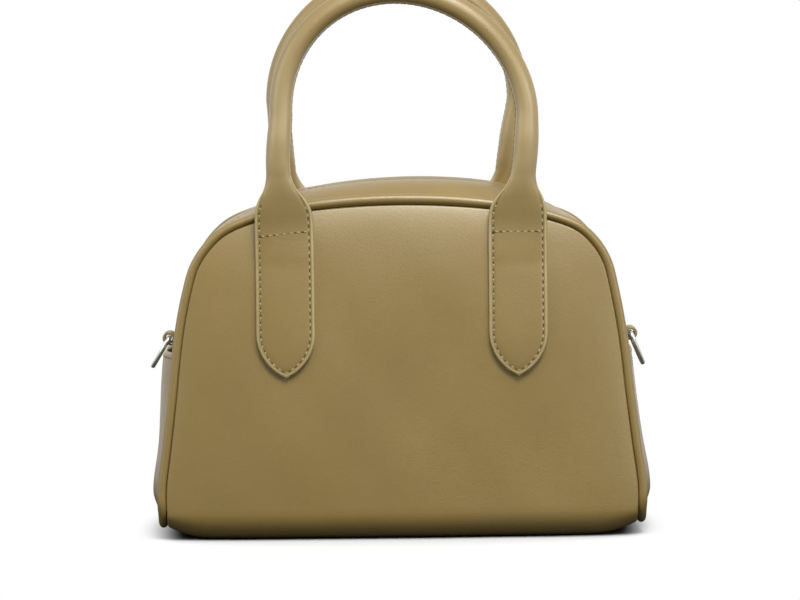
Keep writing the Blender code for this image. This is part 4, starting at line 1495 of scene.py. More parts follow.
@dataclass
class Strap(Assembly):
    """A rolled handle and the two pointed tabs that sew it to one face of the bag.

    The strap's section has a painted edge, a stitch channel and a soft middle. It lies
    flat on the panel, narrows over the piping and rolls up into a round handle whose
    edges meet along the inside of the arch.
    """

    side: Side
    thickness: float = 0.0024
    full_half: float = 0.0142
    edge_round: float = 0.0009
    channel_at: float = 0.0022
    channel_depth: float = 0.00028
    channel_reach: float = 0.0006
    thread_share: float = 0.6
    cross_share: float = 0.7
    puff: float = 0.0004
    puff_reach: float = 0.006
    tip: float = 0.0794
    tip_length: float = 0.021
    least_half: float = 0.0004
    edge_rows: int = 500
    edge_past: float = 0.02
    measured_to: tuple[float, float] = (-0.006, 0.004)
    split: float = 0.1415
    cross_height: float = 0.149
    cross_tilt: float = 0.0012
    rows_end: float = -0.003
    seam_start: float = 0.010
    seam_column: int = 12
    pivot: float = 0.166
    fold_heights: tuple[float, float] = (0.154, 0.184)
    lean: float = math.radians(4.0)
    tilt_reach: float = 0.002
    roll_start: float = -0.008
    neck_rise: float = 0.016
    neck: tuple[float, float] = (-0.002, 0.022)
    half_thick: float = 0.0016
    full_round: float = 0.198
    ease: float = 0.008
    seam_forward: float = 0.30
    step_reach: float = 0.22
    step_deep: float = 0.0007
    raw_share: float = 0.40
    raw_least: float = 0.00005
    bridge_start: float = 0.134
    bridge_end: float = 0.158
    bridge_proud: float = 0.0028
    bridge_slope: float = 0.09
    turn_start: float = 0.149
    turn: float = 0.013
    arch_half: float = 0.0056
    arch_rows: int = 73
    back_columns: int = 15
    front_skew: float = -0.0042
    back_skew: float = 0.0010
    edge_steps: tuple = (
        0.0, 0.0002, 0.0006, 0.0011, 0.0015, 0.0019, 0.0022, 0.0025, 0.0029, 0.0036, 0.0050,
        0.0075, 0.0105,
    )
    width_profile: tuple = (
        (0.1415, 0.0142), (0.1480, 0.0142), (0.1555, 0.0141), (0.1599, 0.0138), (0.1630, 0.0128),
        (0.1659, 0.0114), (0.1699, 0.0087), (0.1740, 0.0070), (0.1780, 0.00625), (0.1860, 0.0061),
        (0.1940, 0.00605), (0.2060, 0.0056),
    )

    def leg_lines(self) -> dict[Hand, tuple]:
        """Heights and places x of each leg's middle, a little uneven as it hangs.

        Returns:
            Both in metres, from a list in millimetres, by the leg's hand.
        """
        if self.side is Side.FRONT:
            heights = (70, 100, 130, 150, 162, 170, 178, 186, 196, 206)
            left = (-55.8, -55.8, -55.8, -56.0, -56.4, -57.3, -58.1, -58.3, -57.7, -56.8)
            right = (57.0, 57.2, 57.3, 57.4, 57.8, 59.0, 60.3, 61.4, 62.1, 62.4)
        else:
            heights = (70, 100, 130, 150, 162, 170, 178, 186, 198, 212)
            left = (-56.5, -56.5, -56.5, -56.6, -56.8, -57.2, -57.8, -58.5, -59.4, -60.6)
            right = (56.0, 56.0, 56.0, 55.8, 55.6, 55.6, 56.2, 57.2, 58.9, 61.4)
        heights, left, right = (np.array(line) / 1000.0 for line in (heights, left, right))
        return {Hand.LEFT: (heights, left), Hand.RIGHT: (heights, right)}

    @property
    def legs_top(self) -> float:
        """Height at which the legs end and the arch starts."""
        return float(self.leg_lines()[Hand.LEFT][0][-1])

    @property
    def back_shares(self) -> np.ndarray:
        """Shares across the strap's back, from one edge to the other, as one row."""
        return np.linspace(1.0, -1.0, self.back_columns)[None]

    def middle(self, hand: Hand, z: np.ndarray) -> np.ndarray:
        """Place x of a leg's middle at each height, along a smooth curve."""
        heights, places = self.leg_lines()[hand]
        curve = through_points(np.stack([heights, places], axis=-1), 8)
        return np.interp(z, curve[:, 0], curve[:, 1])

    def half(self, z: np.ndarray) -> np.ndarray:
        """Half the strap's width: an arc-sided point below, the measured neck above."""
        sweep = (self.full_half**2 + self.tip_length**2) / (2.0 * self.full_half)
        short = np.clip(self.tip + self.tip_length - z, 0.0, self.tip_length)
        point = np.sqrt(sweep**2 - short**2) - (sweep - self.full_half)
        curve = through_points(np.array(self.width_profile), 8)
        neck = np.interp(z, curve[:, 0], curve[:, 1])
        return np.where(z < self.split, np.maximum(point, self.least_half), neck)

    def outline(self, hand: Hand, low: float, high: float) -> np.ndarray:
        """The strap's edge in x and z: up one side, or round the tip where it has one."""
        z = np.linspace(high, low, self.edge_rows)
        middle, half = self.middle(hand, z), self.half(z)
        left, right = np.stack([middle - half, z], -1), np.stack([middle + half, z], -1)
        return np.vstack([left, right[::-1]])

    def front_columns(self, half: np.ndarray) -> tuple[np.ndarray, np.ndarray]:
        """Places across the strap's face, crowded at its edges, and their distances.

        Args:
            half: Half widths, one for each row.

        Returns:
            Places from one edge to the other, and distances from the nearer edge.
        """
        scale = np.clip(half / self.full_half, 0.0, 1.0)[:, None]
        steps = np.array(self.edge_steps)[None]
        right = half[:, None] - steps * scale
        middle = half[:, None] * 0.0
        places = np.hstack([-right, middle, right[:, ::-1]])
        steps = np.broadcast_to(steps, right.shape)
        return places, np.hstack([steps, middle + self.full_half, steps[:, ::-1]])

    def relief(self, distance: np.ndarray) -> np.ndarray:
        """Height of the face over the strap's back: round edge, channel, soft middle."""
        off = (distance - self.channel_at) / self.channel_reach
        channel = self.channel_depth * np.exp(-(off**2))
        puff = self.puff * (1.0 - np.exp(-((distance / self.puff_reach) ** 2)))
        return self.thickness - rounding(distance, self.edge_round) - channel + puff

    def base(self, x: np.ndarray, z: np.ndarray) -> np.ndarray:
        """Depth of the strap's back: the panel's face, then over the piping."""
        shape = self.shape
        z_low = np.minimum(z, self.bridge_start)
        stand = shape.bulge(x, z_low) + shape.ripple(x, z_low) + shape.roll
        bridge = smoothstep(z, self.bridge_start, self.bridge_end)
        proud = self.bridge_proud + self.bridge_slope * self.eased(z - self.turn_start, self.turn)
        return shape.half_depth(z) + stand * (1.0 - bridge) + proud * bridge + shape.gap

    def leg_rings(self, hand: Hand, z: np.ndarray) -> tuple[np.ndarray, np.ndarray]:
        """Closed sections of a leg: flat on the panel, then rolled up round.

        A section is the flat strap's and the tube's places mixed by how far it has
        risen over the fold.

        Args:
            hand: Left or right.
            z: Heights, one for each section.

        Returns:
            Points of the sections, and their distances from the strap's edge.
        """
        half = self.half(z)
        places, steps = self.front_columns(half)
        middle = self.middle(hand, z)[:, None]
        above = z - self.pivot
        true = steps
        if (above < self.measured_to[1]).any():
            edge = self.outline(hand, min(self.tip, z.min()), self.pivot + self.edge_past)
            spots = np.stack([middle + places, z[:, None] + places * 0.0], axis=-1)
            counted = smoothstep(above, *self.measured_to)[:, None]
            true = distance_to(spots, edge) * (1.0 - counted) + steps * counted
        back_places = half[:, None] * self.back_shares
        across = np.hstack([places, back_places])
        through = np.hstack([self.relief(true), back_places * 0.0]) - self.thickness / 2.0
        tube_a, tube_b = self.tube_section(hand, half)
        swell = smoothstep(z, self.pivot + self.roll_start, self.full_round)
        thick = self.half_thick + (half - self.half_thick) * swell
        rolled = smoothstep(above, self.roll_start, self.neck_rise)[:, None]
        across = across * (1.0 - rolled) + tube_a * rolled
        through = through * (1.0 - rolled) + tube_b * (thick / half)[:, None] * rolled
        rise = np.maximum(above, 0.0)[:, None]
        low_z = np.minimum(z, self.pivot)[:, None]
        x = middle + across
        depth = self.base(x, low_z) + self.thickness / 2.0
        depth = depth + through * math.cos(self.lean) - self.leaned(rise)
        tilt = np.clip(rise / self.tilt_reach, 0.0, 1.0) * math.sin(self.lean)
        height = low_z + rise * math.cos(self.lean) + through * tilt
        distance = np.hstack([true, self.raw_edge(hand, half)])
        return np.stack([x, self.side.value * depth, height], axis=-1), distance

    def leaned(self, rise: np.ndarray) -> np.ndarray:
        """How far the handle has leaned in: even above, and eased out of the tab's slope."""
        shape = self.shape
        slope = self.bridge_slope - (shape.base_depth - shape.top_depth) / shape.height
        lean = self.eased(rise, self.ease) * math.sin(self.lean)
        return lean - slope * self.ease * (1.0 - np.exp(-rise / self.ease))

    @staticmethod
    def eased(rise: np.ndarray, reach: float) -> np.ndarray:
        """A rise that starts as a square over its reach and then goes on evenly."""
        rise = np.maximum(rise, 0.0)
        return np.where(rise < reach, rise**2 / (2.0 * reach), rise - reach / 2.0)

    def tube_section(self, hand: Hand, half: np.ndarray) -> tuple[np.ndarray, np.ndarray]:
        """The rolled section: angles by the share across, with a step at the seam.

        Args:
            hand: Which way the arch's inside lies.
            half: Radii, one for each row.

        Returns:
            Places across and through, with the columns of a flat section.
        """
        inner, radius = -hand.value, half[:, None]
        front = self.front_columns(half)[0] / radius
        back = self.back_shares + radius * 0.0
        turn, past = (
            math.pi / 2.0 * (1.0 - self.seam_forward * (share * inner > 0.0))
            for share in (front, back)
        )
        behind = np.sign(back) * math.pi - back * (math.pi - past)
        behind = np.where(back == 0.0, math.pi, behind)
        near = np.exp(-(((1.0 - back * inner) / self.step_reach) ** 2))
        radius = np.hstack([radius + front * 0.0, radius - self.step_deep * near])
        angle = np.hstack([front * turn, behind])
        return radius * np.sin(angle), radius * np.cos(angle)

    def raw_edge(self, hand: Hand, half: np.ndarray) -> np.ndarray:
        """Distances of the back's columns from the raw edge inside the arch, drawn in.

        Args:
            hand: Which way the arch's inside lies.
            half: Half widths, one for each row.

        Returns:
            A share of each column's true distance, widening the pale band, which is partly painted
            light on the arch.
        """
        share = self.back_shares * -hand.value
        return (1.0 - share) * half[:, None] * self.raw_share + self.raw_least

    def arch_rings(self, count: int) -> tuple[np.ndarray, np.ndarray]:
        """Sections round the half circle from the right leg to the left one.

        Args:
            count: Number of sections.

        Returns:
            Points of the sections, and their distances from the strap's edge.
        """
        lines = self.leg_lines()
        left, right = (lines[hand][1][-1] for hand in Hand)
        radius, centre_x = (right - left) / 2.0, (right + left) / 2.0
        angle = np.linspace(0.0, math.pi, count)[:, None]
        half = np.full(count, self.arch_half)
        across, through = self.tube_section(Hand.RIGHT, half)
        rise = (self.legs_top - self.pivot) + (radius + across) * np.sin(angle)
        skew = self.front_skew if self.side is Side.FRONT else self.back_skew
        x = centre_x + (radius + across) * np.cos(angle) + skew * np.sin(angle) ** 1.3
        depth = self.base(x * 0.0, x * 0.0 + self.pivot) + self.thickness / 2.0
        depth = depth + through * math.cos(self.lean) - self.leaned(rise)
        z = self.pivot + rise * math.cos(self.lean) + through * math.sin(self.lean)
        _, steps = self.front_columns(half)
        distance = np.hstack([steps, self.raw_edge(Hand.RIGHT, half)])
        return np.stack([x, self.side.value * depth, z], axis=-1), distance

    def build_tab(self, hand: Hand) -> None:
        """Makes the lower part of a tab, from its point up to under the cross stitch.

        Args:
            hand: Left or right.
        """
        point = self.tip + self.tip_length * dense_last(44, 0.5) ** 1.4
        z = np.concatenate([point, np.linspace(self.tip + self.tip_length, self.split, 22)[1:]])
        rings, distance = self.leg_rings(hand, z)
        surface = Surface()
        surface.add_tube(rings, self.seam_uv(rings, distance))
        name = f"{self.side.word}_{hand.word}_tab"
        self.piece(surface, f"{name}_leather", ("strap",), "khaki_trim", (name,), self.side)

    @staticmethod
    def seam_uv(rings: np.ndarray, distance: np.ndarray) -> np.ndarray:
        """A UV map of height and of distance from the edge, with one more column."""
        uv = np.stack([rings[..., 2], distance], axis=-1)
        return np.concatenate([uv, uv[:, :1]], axis=1)

    def whole(self, z: np.ndarray) -> list[np.ndarray]:
        """Sections up the right leg, over the arch and down the left leg.

        Args:
            z: Heights of each leg's sections.

        Returns:
            Points of the sections, and their distances from the strap's edge.
        """
        front = 2 * len(self.edge_steps) + 1
        back = front + np.arange(self.back_columns)
        order = np.concatenate([np.arange(front)[::-1], back[::-1]])
        legs = (self.leg_rings(Hand.RIGHT, z), self.leg_rings(Hand.LEFT, z))
        return [
            np.concatenate([right, arch, left[::-1][:, order]])
            for right, arch, left in zip(legs[0], self.arch_rings(self.arch_rows), legs[1])
        ]

    def build_handle(self) -> None:
        """Makes the handle with both necks, down to the tabs' cross stitches."""
        foot, head = (self.pivot + rise for rise in self.neck)
        low = np.linspace(self.split, foot, 16)
        neck = np.linspace(foot, head, 40)[1:]
        leg = np.linspace(head, self.legs_top, 10)[1:-1]
        rings, steps = self.whole(np.concatenate([low, neck, leg]))
        surface = Surface()
        surface.add_tube(rings, self.seam_uv(rings, steps))
        name = f"{self.side.word}_handle"
        piece = self.piece(surface, f"{name}_leather", ("strap",), "khaki_trim", (name,), None)
        self.fold(piece)

    def fold(self, piece: bpy.types.Object) -> None:
        """Bakes the transform of a piece into its mesh; it does not turn with the handle."""
        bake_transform(piece)

    def stitch_line(self, hand: Hand, low: float, high: float) -> list[np.ndarray]:
        """Stitch rows inside the strap's edge: the outline moved in by the channel.

        Args:
            hand: Left or right.
            low: Lowest height.
            high: Highest height.

        Returns:
            The rows in x and z: one round the tip, or two where there is no tip.
        """
        edge = self.outline(hand, min(low, self.tip), high + 0.004)
        ahead = unit(np.gradient(edge, axis=0))
        line = edge + np.stack([-ahead[:, 1], ahead[:, 0]], axis=-1) * self.channel_at
        out = line[:, 0] - self.middle(hand, line[:, 1])
        keep = (line[:, 1] <= high) & (line[:, 1] >= low)
        first = np.arange(len(edge)) < len(edge) // 2
        left = line[keep & first & (out < -self.shape.gap)]
        right = line[keep & ~first & (out > self.shape.gap)]
        return [np.vstack([left, right])] if low < self.tip + self.tip_length else [left, right]

    def on_face(self, flat: np.ndarray) -> tuple[np.ndarray, np.ndarray]:
        """Points of the strap's face in its channel over places in x and z, and normals."""
        depth = self.base(flat[:, 0], flat[:, 1]) + self.thickness
        depth = depth - self.channel_depth * self.thread_share
        points = np.stack([flat[:, 0], self.side.value * depth, flat[:, 1]], axis=-1)
        return points, points * 0.0 + self.side.outward

    def build_tab_stitches(self, hand: Hand) -> None:
        """Makes the stitch row round the lower part of a tab."""
        rows = [self.on_face(flat) for flat in self.stitch_line(hand, 0.0, self.split)]
        self.stitches(f"{self.side.word}_{hand.word}_tab_stitches", rows, self.side)

    def build_handle_stitches(self) -> None:
        """Makes the rows up both necks, the two cross rows and the handle's seam."""
        surface = Surface()
        reach = self.full_half - self.channel_at
        share = np.linspace(-1.0, 1.0, 30)
        for hand in Hand:
            for flat in self.stitch_line(hand, self.split, self.pivot + self.rows_end):
                Stitching().rows_on(surface, *self.on_face(flat))
            tilt = self.cross_tilt * (hand is Hand.LEFT and self.side is Side.FRONT)
            z = self.cross_height + tilt * share
            flat = np.stack([self.middle(hand, z) + share * reach, z], axis=-1)
            points, normals = self.on_face(flat)
            proud = (self.puff + self.channel_depth) * self.cross_share
            Stitching().rows_on(surface, points + normals * proud, normals)
        seam = Stitching(pitch=0.0032, half_high=0.00012)
        seam.rows_on(surface, *self.seam_row())
        name = f"{self.side.word}_handle_stitches"
        piece = self.piece(surface, name, ("thread", "hole_shade"), "khaki_trim", holder=None)
        self.fold(piece)

    def seam_row(self) -> tuple[np.ndarray, np.ndarray]:
        """The stitch row of the handle's seam beside the inner edge: points and normals."""
        z = np.linspace(self.pivot + self.seam_start, self.legs_top, 30)[:-1]
        rings, _ = self.whole(z)
        path = rings[:, 2 * len(self.edge_steps) + 1 + self.seam_column]
        return path, unit(path - rings.mean(axis=1))


@dataclass
class SideRing(Assembly):
    """A polished D-ring at one side, on a folded leather loop."""

    hand: Hand
    wire: float = 0.0012
    half_length: float = 0.0087
    drop: float = 0.0163
    corner: float = 0.0022
    height: float = 0.0955
    outside: float = 0.0079
    sheet: float = 0.0015
    loop_half: float = 0.006
    tail_low: float = 0.080
    seat: float = 0.0005
    sheet_corner: float = 0.0006
    wrap: tuple[float, float] = (-62.0, 216.0)
    ease_in: float = 0.0004
    ease_out: float = 0.0012
    left_angle: float = 31.0
    right_angle: float = 22.0

    def place(self) -> np.ndarray:
        """The middle of the ring's straight bar."""
        x = float(self.shape.half_width(self.height)) + self.outside
        return np.array([self.hand.value * x, 0.0, self.height])

    def build_ring(self) -> None:
        """Makes the ring: a circle carried round a bar, two corners and a half ellipse."""
        quarter = np.linspace(math.pi / 2.0, 0.0, 9)
        corner = self.corner * np.stack([np.cos(quarter), np.sin(quarter)], axis=-1)
        corner = corner + [self.half_length - self.corner, -self.corner]
        sweep = np.linspace(0.0, math.pi, 49)[1:-1]
        bow = np.stack([np.cos(sweep), -np.sin(sweep)], axis=-1)
        bow = bow * [self.half_length, self.drop - self.corner] - [0.0, self.corner]
        flat = np.vstack([corner, bow, corner[::-1] * [-1.0, 1.0]])
        flat = np.vstack([flat, np.linspace(flat[-1], flat[0], 12)[1:-1]])
        turned = self.left_angle if self.hand is Hand.LEFT else self.right_angle
        angle = math.radians(turned)
        out = self.hand.value * math.sin(angle)
        path = np.stack([-flat[:, 1] * out, flat[:, 0], flat[:, 1] * math.cos(angle)], axis=-1)
        square = np.array([math.cos(angle), 0.0, out])
        surface = Surface()
        rings = looped(path, square, circle(self.wire, 16))
        surface.add_tube(rings + self.place(), closed=True)
        name = f"{self.hand.word}_ring"
        self.piece(surface, f"{name}_wire", ("metal",), "nickel", (name,), name)

    def build_loop(self) -> None:
        """Makes the loop: a strap carried up behind the gusset, round the bar and back."""
        shape = self.shape
        eye = self.wire + 2.0 * shape.gap + self.sheet / 2.0
        inside = float(shape.half_width(shape.gusset_top)) + shape.piping + shape.gap
        inside = inside + shape.edge_rise + SideGusset.bulge
        tail = inside - SideGusset.sheet - self.seat - abs(self.place()[0]) - self.sheet / 2.0
        low = self.tail_low - self.height
        lean = float(shape.half_width(self.tail_low) - shape.half_width(shape.gusset_top))
        over = shape.gusset_top - self.height + 2.0 * shape.gap
        angle = np.radians(np.linspace(*self.wrap, 11))
        arc = eye * np.stack([np.cos(angle), np.sin(angle)], axis=-1)
        between = (tail + lean * 0.4, (low + over) / 2.0)
        first = [(tail + lean, low), between, (tail + self.ease_in, over)]
        last = [(tail - self.sheet, over - self.ease_out), (tail - self.sheet + lean, low)]
        flat = through_points(np.vstack([first, arc, last]), 6)
        path = np.stack([flat[:, 0] * self.hand.value, flat[:, 0] * 0.0, flat[:, 1]], axis=-1)
        section = rounded_bar(self.loop_half, self.sheet / 2.0, self.sheet_corner)[:, ::-1]
        surface = Surface()
        surface.add_tube(swept(path + self.place(), (0.0, 1.0, 0.0), section))
        name = f"{self.hand.word}_loop_leather"
        nodes = (f"{self.hand.word}_ring_loop",)
        self.piece(surface, name, ("plain",), "khaki_skin", nodes)


@dataclass
class ZipSlider(Assembly):
    """The zip's slider and its puller."""

    row_high: float = 0.0022
    plate: float = 0.0012
    length: float = 0.009
    width: float = 0.008
    place_along: float = 0.04396
    row_out: float = 0.0055
    post: tuple[float, float] = (0.0015, 0.00002)
    set_in: float = 0.0003
    bail: float = 0.0022
    bail_wire: float = 0.00045
    link: tuple[float, float] = (0.0026, 0.0019)
    link_place: float = 0.0020
    link_wire: float = 0.00033
    link_lift: float = 0.0007
    pull: tuple[float, float] = (0.0078, 0.0025)
    pull_place: float = 0.0124
    pull_thick: float = 0.0010
    pull_neck: float = 0.72
    taper_reach: tuple[float, float] = (0.004, 0.016)

    def frame(self) -> tuple[np.ndarray, np.ndarray, np.ndarray]:
        """The slider's middle on the zip's arc, its direction along and its direction up."""
        radius = self.shape.crown_radius + self.row_out
        angle = math.asin(self.place_along / radius)
        centre = self.shape.height - self.shape.crown_radius
        middle = np.array([radius * math.sin(angle), 0.0, centre + radius * math.cos(angle)])
        ahead = np.array([math.cos(angle), 0.0, -math.sin(angle)])
        up = np.array([math.sin(angle), 0.0, math.cos(angle)])
        return middle, ahead, up

    def placed(self, local: np.ndarray) -> np.ndarray:
        """Points given along, across and up from the slider's middle, in the bag."""
        middle, ahead, up = self.frame()
        across = np.array([0.0, 1.0, 0.0])
        return middle + local[..., :1] * ahead + local[..., 1:2] * across + local[..., 2:] * up

    def pillow(self, half_long: float, half_wide: float, low: float, high: float) -> np.ndarray:
        """A plate with round ends and soft edges: outlines that shrink at top and bottom.

        Args:
            half_long: Half its length.
            half_wide: Half its width.
            low: Height of its lower face.
            high: Height of its upper face.

        Returns:
            Closed outlines from the bottom up, as places along, across and up.
        """
        shrink = np.array([0.90, 0.98, 1.0, 1.0, 0.98, 0.90])[:, None, None]
        heights = low + (high - low) * np.array([0.0, 0.1, 0.3, 0.7, 0.9, 1.0])[:, None, None]
        flat = superellipse(half_long, half_wide, 0.6, 32) * shrink
        return np.concatenate([flat, heights + flat[..., :1] * 0.0], axis=-1)

    def build_slider(self) -> None:
        """Makes the two plates, the post between them and the bail."""
        low = self.row_high / 2.0 + self.shape.gap
        top = low + self.plate
        half = (self.length / 2.0, self.width / 2.0)
        rise = self.bail * np.sin(np.linspace(0.0, math.pi, 17)) ** 0.6
        run = -self.bail * np.cos(np.linspace(0.0, math.pi, 17))
        bail = np.stack([run, run * 0.0, top - self.set_in + rise], axis=-1)
        solids = [
            self.pillow(*half, low, top),
            self.pillow(*half, -top, -low),
            self.pillow(*self.post, -low - self.set_in, low + self.set_in),
            swept(bail, (0.0, 1.0, 0.0), circle(self.bail_wire, 10)),
        ]
        surface = Surface()
        for solid in solids:
            surface.add_tube(self.placed(solid))
        self.piece(surface, "slider_metal", ("metal",), "nickel", ("zip_slider",), "zip_slider")

    def build_puller(self) -> None:
        """Makes the puller: a round-cornered link round the bail and a tapered plate."""
        height = self.row_high / 2.0 + self.shape.gap + self.plate + self.link_lift
        flat = superellipse(*self.link, 0.5, 40) + [self.link_place, 0.0]
        path = np.hstack([flat, flat[:, :1] * 0.0 + height])
        rings = looped(path, np.array(UP), circle(self.link_wire, 10)[:, ::-1])
        surface = Surface()
        surface.add_tube(self.placed(rings), closed=True)
        thick = self.pull_thick / 2.0
        plate = self.pillow(*self.pull, height - thick, height + thick)
        plate = plate + [self.pull_place, 0.0, 0.0]
        widening = smoothstep(plate[..., 0], *self.taper_reach)
        plate[..., 1] *= self.pull_neck + (1.0 - self.pull_neck) * widening
        surface.add_tube(self.placed(plate))
        self.piece(surface, "puller_metal", ("metal",), "nickel", ("zip_puller",), "zip_puller")


@dataclass
class Studio:
    """The floor, the white surroundings, the soft lamps and the camera."""

    azimuth: float = math.radians(-0.4)
    roll: float = math.radians(-0.647)
    target: tuple[float, float, float] = (-0.000124, -0.050, 0.116296)
    camera_height: float = 0.255
    distance: float = 2.0
    pixels_to_metre: float = 2059.0
    image_width: float = 800.0
    sensor: float = 36.0
    card: tuple[float, float, float, float, float] = (-2.2, 1.1, -2.5, -0.3, 0.60)
    lamps: tuple = (
        ("key", (0.30, -1.15, 1.75), 0.9, 40.0),
        ("right_fill", (1.45, -1.30, 0.65), 0.5, 7.0),
        ("left_fill", (-1.60, -0.80, 0.85), 1.2, 9.5),
        ("front_sheen", (0.30, -1.75, 1.35), 1.2, 15.5, True),
    )
    lamp_target: tuple[float, float, float] = (0.0, 0.0, 0.12)
    floor_reach: float = 12.0
    floor_dim: tuple = (0.08, 0.08, 0.08, 1.0)
    floor_bright: tuple = (1.30, 1.31, 1.33, 1.0)
    shade_reach: float = 0.18
    shade_squeeze: tuple[float, float, float] = (1.0, 0.6, 1.0)
    shade_fade: tuple[float, float] = (0.109, 0.134)
    mirror_fade: tuple[float, float] = (0.14, 0.55)
    sky_light: float = 0.27

    def build(self) -> None:
        """Makes everything of the studio."""
        self.build_camera()
        self.build_floor()
        self.build_world()
        self.build_dark_card()
        for lamp in self.lamps:
            self.lamp(*lamp)
        bpy.context.scene.view_settings.view_transform = "Standard"

    def build_camera(self) -> None:
        """Places the camera by its turn, height and distance from the target."""
        pitch = math.atan2(self.camera_height - self.target[2], self.distance)
        reach = self.distance / math.cos(pitch)
        turn = np.array([math.sin(self.azimuth), -math.cos(self.azimuth)])
        back = np.array([*(turn * math.cos(pitch)), math.sin(pitch)])
        place = np.array(self.target) + reach * back
        right = unit(np.cross(-back, UP))
        up = np.cross(right, -back)
        turned = math.cos(self.roll) * right + math.sin(self.roll) * up
        up = -math.sin(self.roll) * right + math.cos(self.roll) * up
        data = bpy.data.cameras.new("camera")
        data.sensor_width = self.sensor
        data.lens = self.pixels_to_metre * reach * self.sensor / self.image_width
        data.clip_end = 50.0
        camera = add_object(data)
        camera.matrix_world = self.facing(turned, up, back, place)
        bpy.context.scene.camera = camera

    def lamp(
        self, name: str, place: tuple, size: float, power: float, only_shine: bool = False
    ) -> None:
        """Adds a square soft lamp that faces the bag.

        Args:
            name: The lamp's name.
            place: Its place in metres.
            size: Length of its sides.
            power: Its power in watts.
            only_shine: Whether only reflections see it.
        """
        data = bpy.data.lights.new(name, "AREA")
        data.size = size
        data.energy = power
        lamp = add_object(data)
        back = unit(np.array(place) - np.array(self.lamp_target))
        right = unit(np.cross(UP, back))
        lamp.matrix_world = self.facing(right, np.cross(back, right), back, place)
        lamp.visible_diffuse = not only_shine

    @staticmethod
    def facing(right: np.ndarray, up: np.ndarray, back: np.ndarray, place: tuple) -> Matrix:
        """The matrix whose columns are an object's three directions and its place."""
        matrix = np.eye(4)
        matrix[:3] = np.stack([right, up, back, place], axis=-1)
        return Matrix(matrix.tolist())

    @staticmethod
    def stage_plane(
        name: str, corners: list[tuple], material: bpy.types.Material
    ) -> bpy.types.Object:
        """Adds one four-sided face of the stage."""
        mesh = bpy.data.meshes.new(name)
        mesh.from_pydata(corners, [], [(0, 1, 2, 3)])
        mesh.materials.append(material)
        plane = add_object(mesh)
        return plane

    def build_dark_card(self) -> None:
        """Makes a dark card behind the camera, which only reflections see."""
        x_low, x_high, y, z_low, z_high = self.card
        corners = [(x_low, y, z_low), (x_high, y, z_low), (x_high, y, z_high), (x_low, y, z_high)]
        dark = Plain("dark_card", (0.05, 0.05, 0.05), 0.9).make()
        card = self.stage_plane("dark_card", corners, dark)
        card.visible_camera = card.visible_diffuse = card.visible_shadow = False
        card.visible_transmission = False

    @staticmethod
    def seen(tree: bpy.types.NodeTree, *others: str) -> bpy.types.NodeSocket:
        """1 for a ray of the camera or of the other named kinds, else 0."""
        path = add_node(tree, "ShaderNodeLightPath")
        total = path.outputs["Is Camera Ray"]
        for name in others:
            inputs = {0: total, 1: path.outputs[name]}
            total = add_node(tree, "ShaderNodeMath", inputs, operation="MAXIMUM").outputs[0]
        return total

    def build_floor(self) -> None:
        """Makes a wide white floor with the bag's shadow and a painted contact shadow, fading to
        plain white.
        """
        material = bpy.data.materials.new("floor_white")
        material.use_nodes = True
        tree = material.node_tree
        tree.nodes.clear()

        def made(
            kind: str, inputs: dict | None = None, **settings: object
        ) -> bpy.types.NodeSocket:
            """Adds a node and gives its first output."""
            return add_node(tree, kind, inputs, **settings).outputs[0]

        def mixed(share: object, first: object, second: object) -> bpy.types.NodeSocket:
            """A shader between the first, at share 0, and the second, at share 1."""
            return made("ShaderNodeMixShader", {0: share, 1: first, 2: second})

        def rising(value: object, low: float, high: float) -> bpy.types.NodeSocket:
            """A smooth rise from 0 at low to 1 at high."""
            inputs = {"Value": value, "From Min": low, "From Max": high}
            return made("ShaderNodeMapRange", inputs, interpolation_type="SMOOTHSTEP")

        dim = made("ShaderNodeBsdfDiffuse", {"Color": self.floor_dim})
        # Painted contact shadow: ambient occlusion darkens the floor's colour near the bag, on top
        # of the lamps' own shadows.
        near = {"Color": self.floor_bright, "Distance": self.shade_reach}
        near = made("ShaderNodeAmbientOcclusion", near, samples=8)
        bright = made("ShaderNodeBsdfDiffuse", {"Color": near})
        white = made("ShaderNodeEmission", {"Strength": 1.0})
        place = add_node(tree, "ShaderNodeTexCoord").outputs["Object"]
        flat = made("ShaderNodeMapping", {"Vector": place, "Scale": self.shade_squeeze})
        length = add_node(tree, "ShaderNodeVectorMath", {0: flat}, operation="LENGTH")
        out = length.outputs["Value"]
        seen = mixed(rising(out, *self.shade_fade), bright, white)
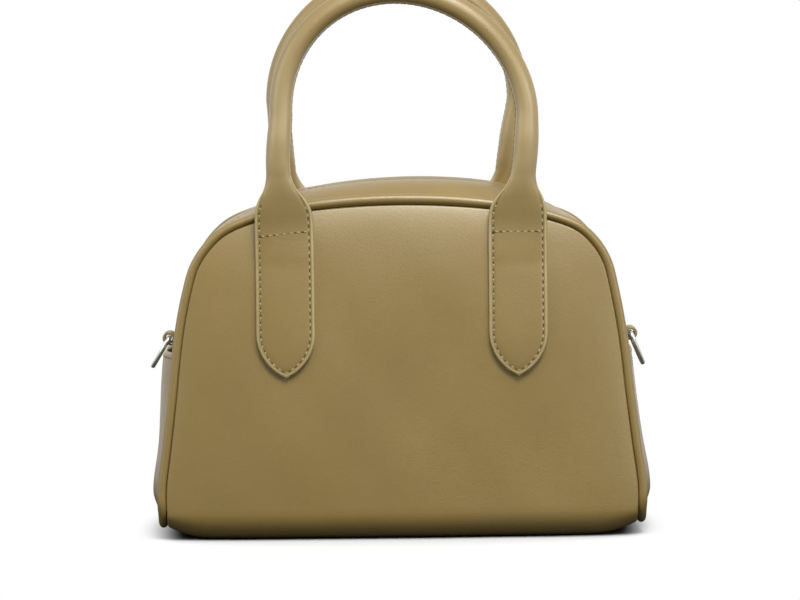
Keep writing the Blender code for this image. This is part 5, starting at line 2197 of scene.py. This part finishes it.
        # Painted shade in reflections: they see the dark floor near the bag and plain white
        # farther off.
        mirrored = mixed(rising(out, *self.mirror_fade), dim, white)
        glossy = add_node(tree, "ShaderNodeLightPath").outputs["Is Glossy Ray"]
        unseen = mixed(glossy, dim, mirrored)
        surface = mixed(self.seen(tree, "Is Transmission Ray"), unseen, seen)
        add_node(tree, "ShaderNodeOutputMaterial", {"Surface": surface})
        far = self.floor_reach
        corners = [(-far, -far, 0.0), (far, -far, 0.0), (far, far, 0.0), (-far, far, 0.0)]
        self.stage_plane("floor", corners, material)

    def build_world(self) -> None:
        """Makes surroundings that are white to the eye and give a part of the light."""
        world = bpy.data.worlds.new("studio")
        bpy.context.scene.world = world
        world.use_nodes = True
        tree = world.node_tree
        background = tree.nodes["Background"]
        background.inputs["Color"].default_value = (1.0, 1.0, 1.0, 1.0)
        seen = self.seen(tree, "Is Glossy Ray", "Is Transmission Ray")
        inputs = {"Value": seen, "To Min": self.sky_light, "To Max": 1.0}
        strength = add_node(tree, "ShaderNodeMapRange", inputs).outputs["Result"]
        tree.links.new(strength, background.inputs["Strength"])


def main() -> None:
    """Builds every piece of the bag in order and reports it."""
    logging.basicConfig(level=logging.INFO, format="%(message)s")
    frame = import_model()
    shape = BagShape()
    finishes = all_finishes()
    Studio().build()
    frame["nodes"]["base_board"].data.materials.clear()
    frame["nodes"]["base_board"].data.materials.append(finishes["board"])
    body = BodyLeather(shape, finishes)
    crown = Crown(shape, finishes)
    gusset = SideGusset(shape, finishes)
    piping = Piping(shape, finishes)
    for side in Side:
        body.build(side)
        body.build_lining(side)
        piping.build_arch(side)
        crown.build_strip(side)
        crown.build_stitches(side)
        crown.build_tape(side)
        strap = Strap(shape, finishes, side)
        strap.build_handle()
        strap.build_handle_stitches()
        for hand in Hand:
            strap.build_tab(hand)
            strap.build_tab_stitches(hand)
    for hand in Hand:
        piping.build_base(hand)
        gusset.build(hand)
        gusset.build_stitches(hand)
        gusset.build_lining(hand)
        gusset.build_stay(hand)
        ring = SideRing(shape, finishes, hand)
        ring.build_ring()
        ring.build_loop()
    zip_slider = ZipSlider(shape, finishes)
    zip_slider.build_slider()
    zip_slider.build_puller()


if __name__ == "__main__":
    main()
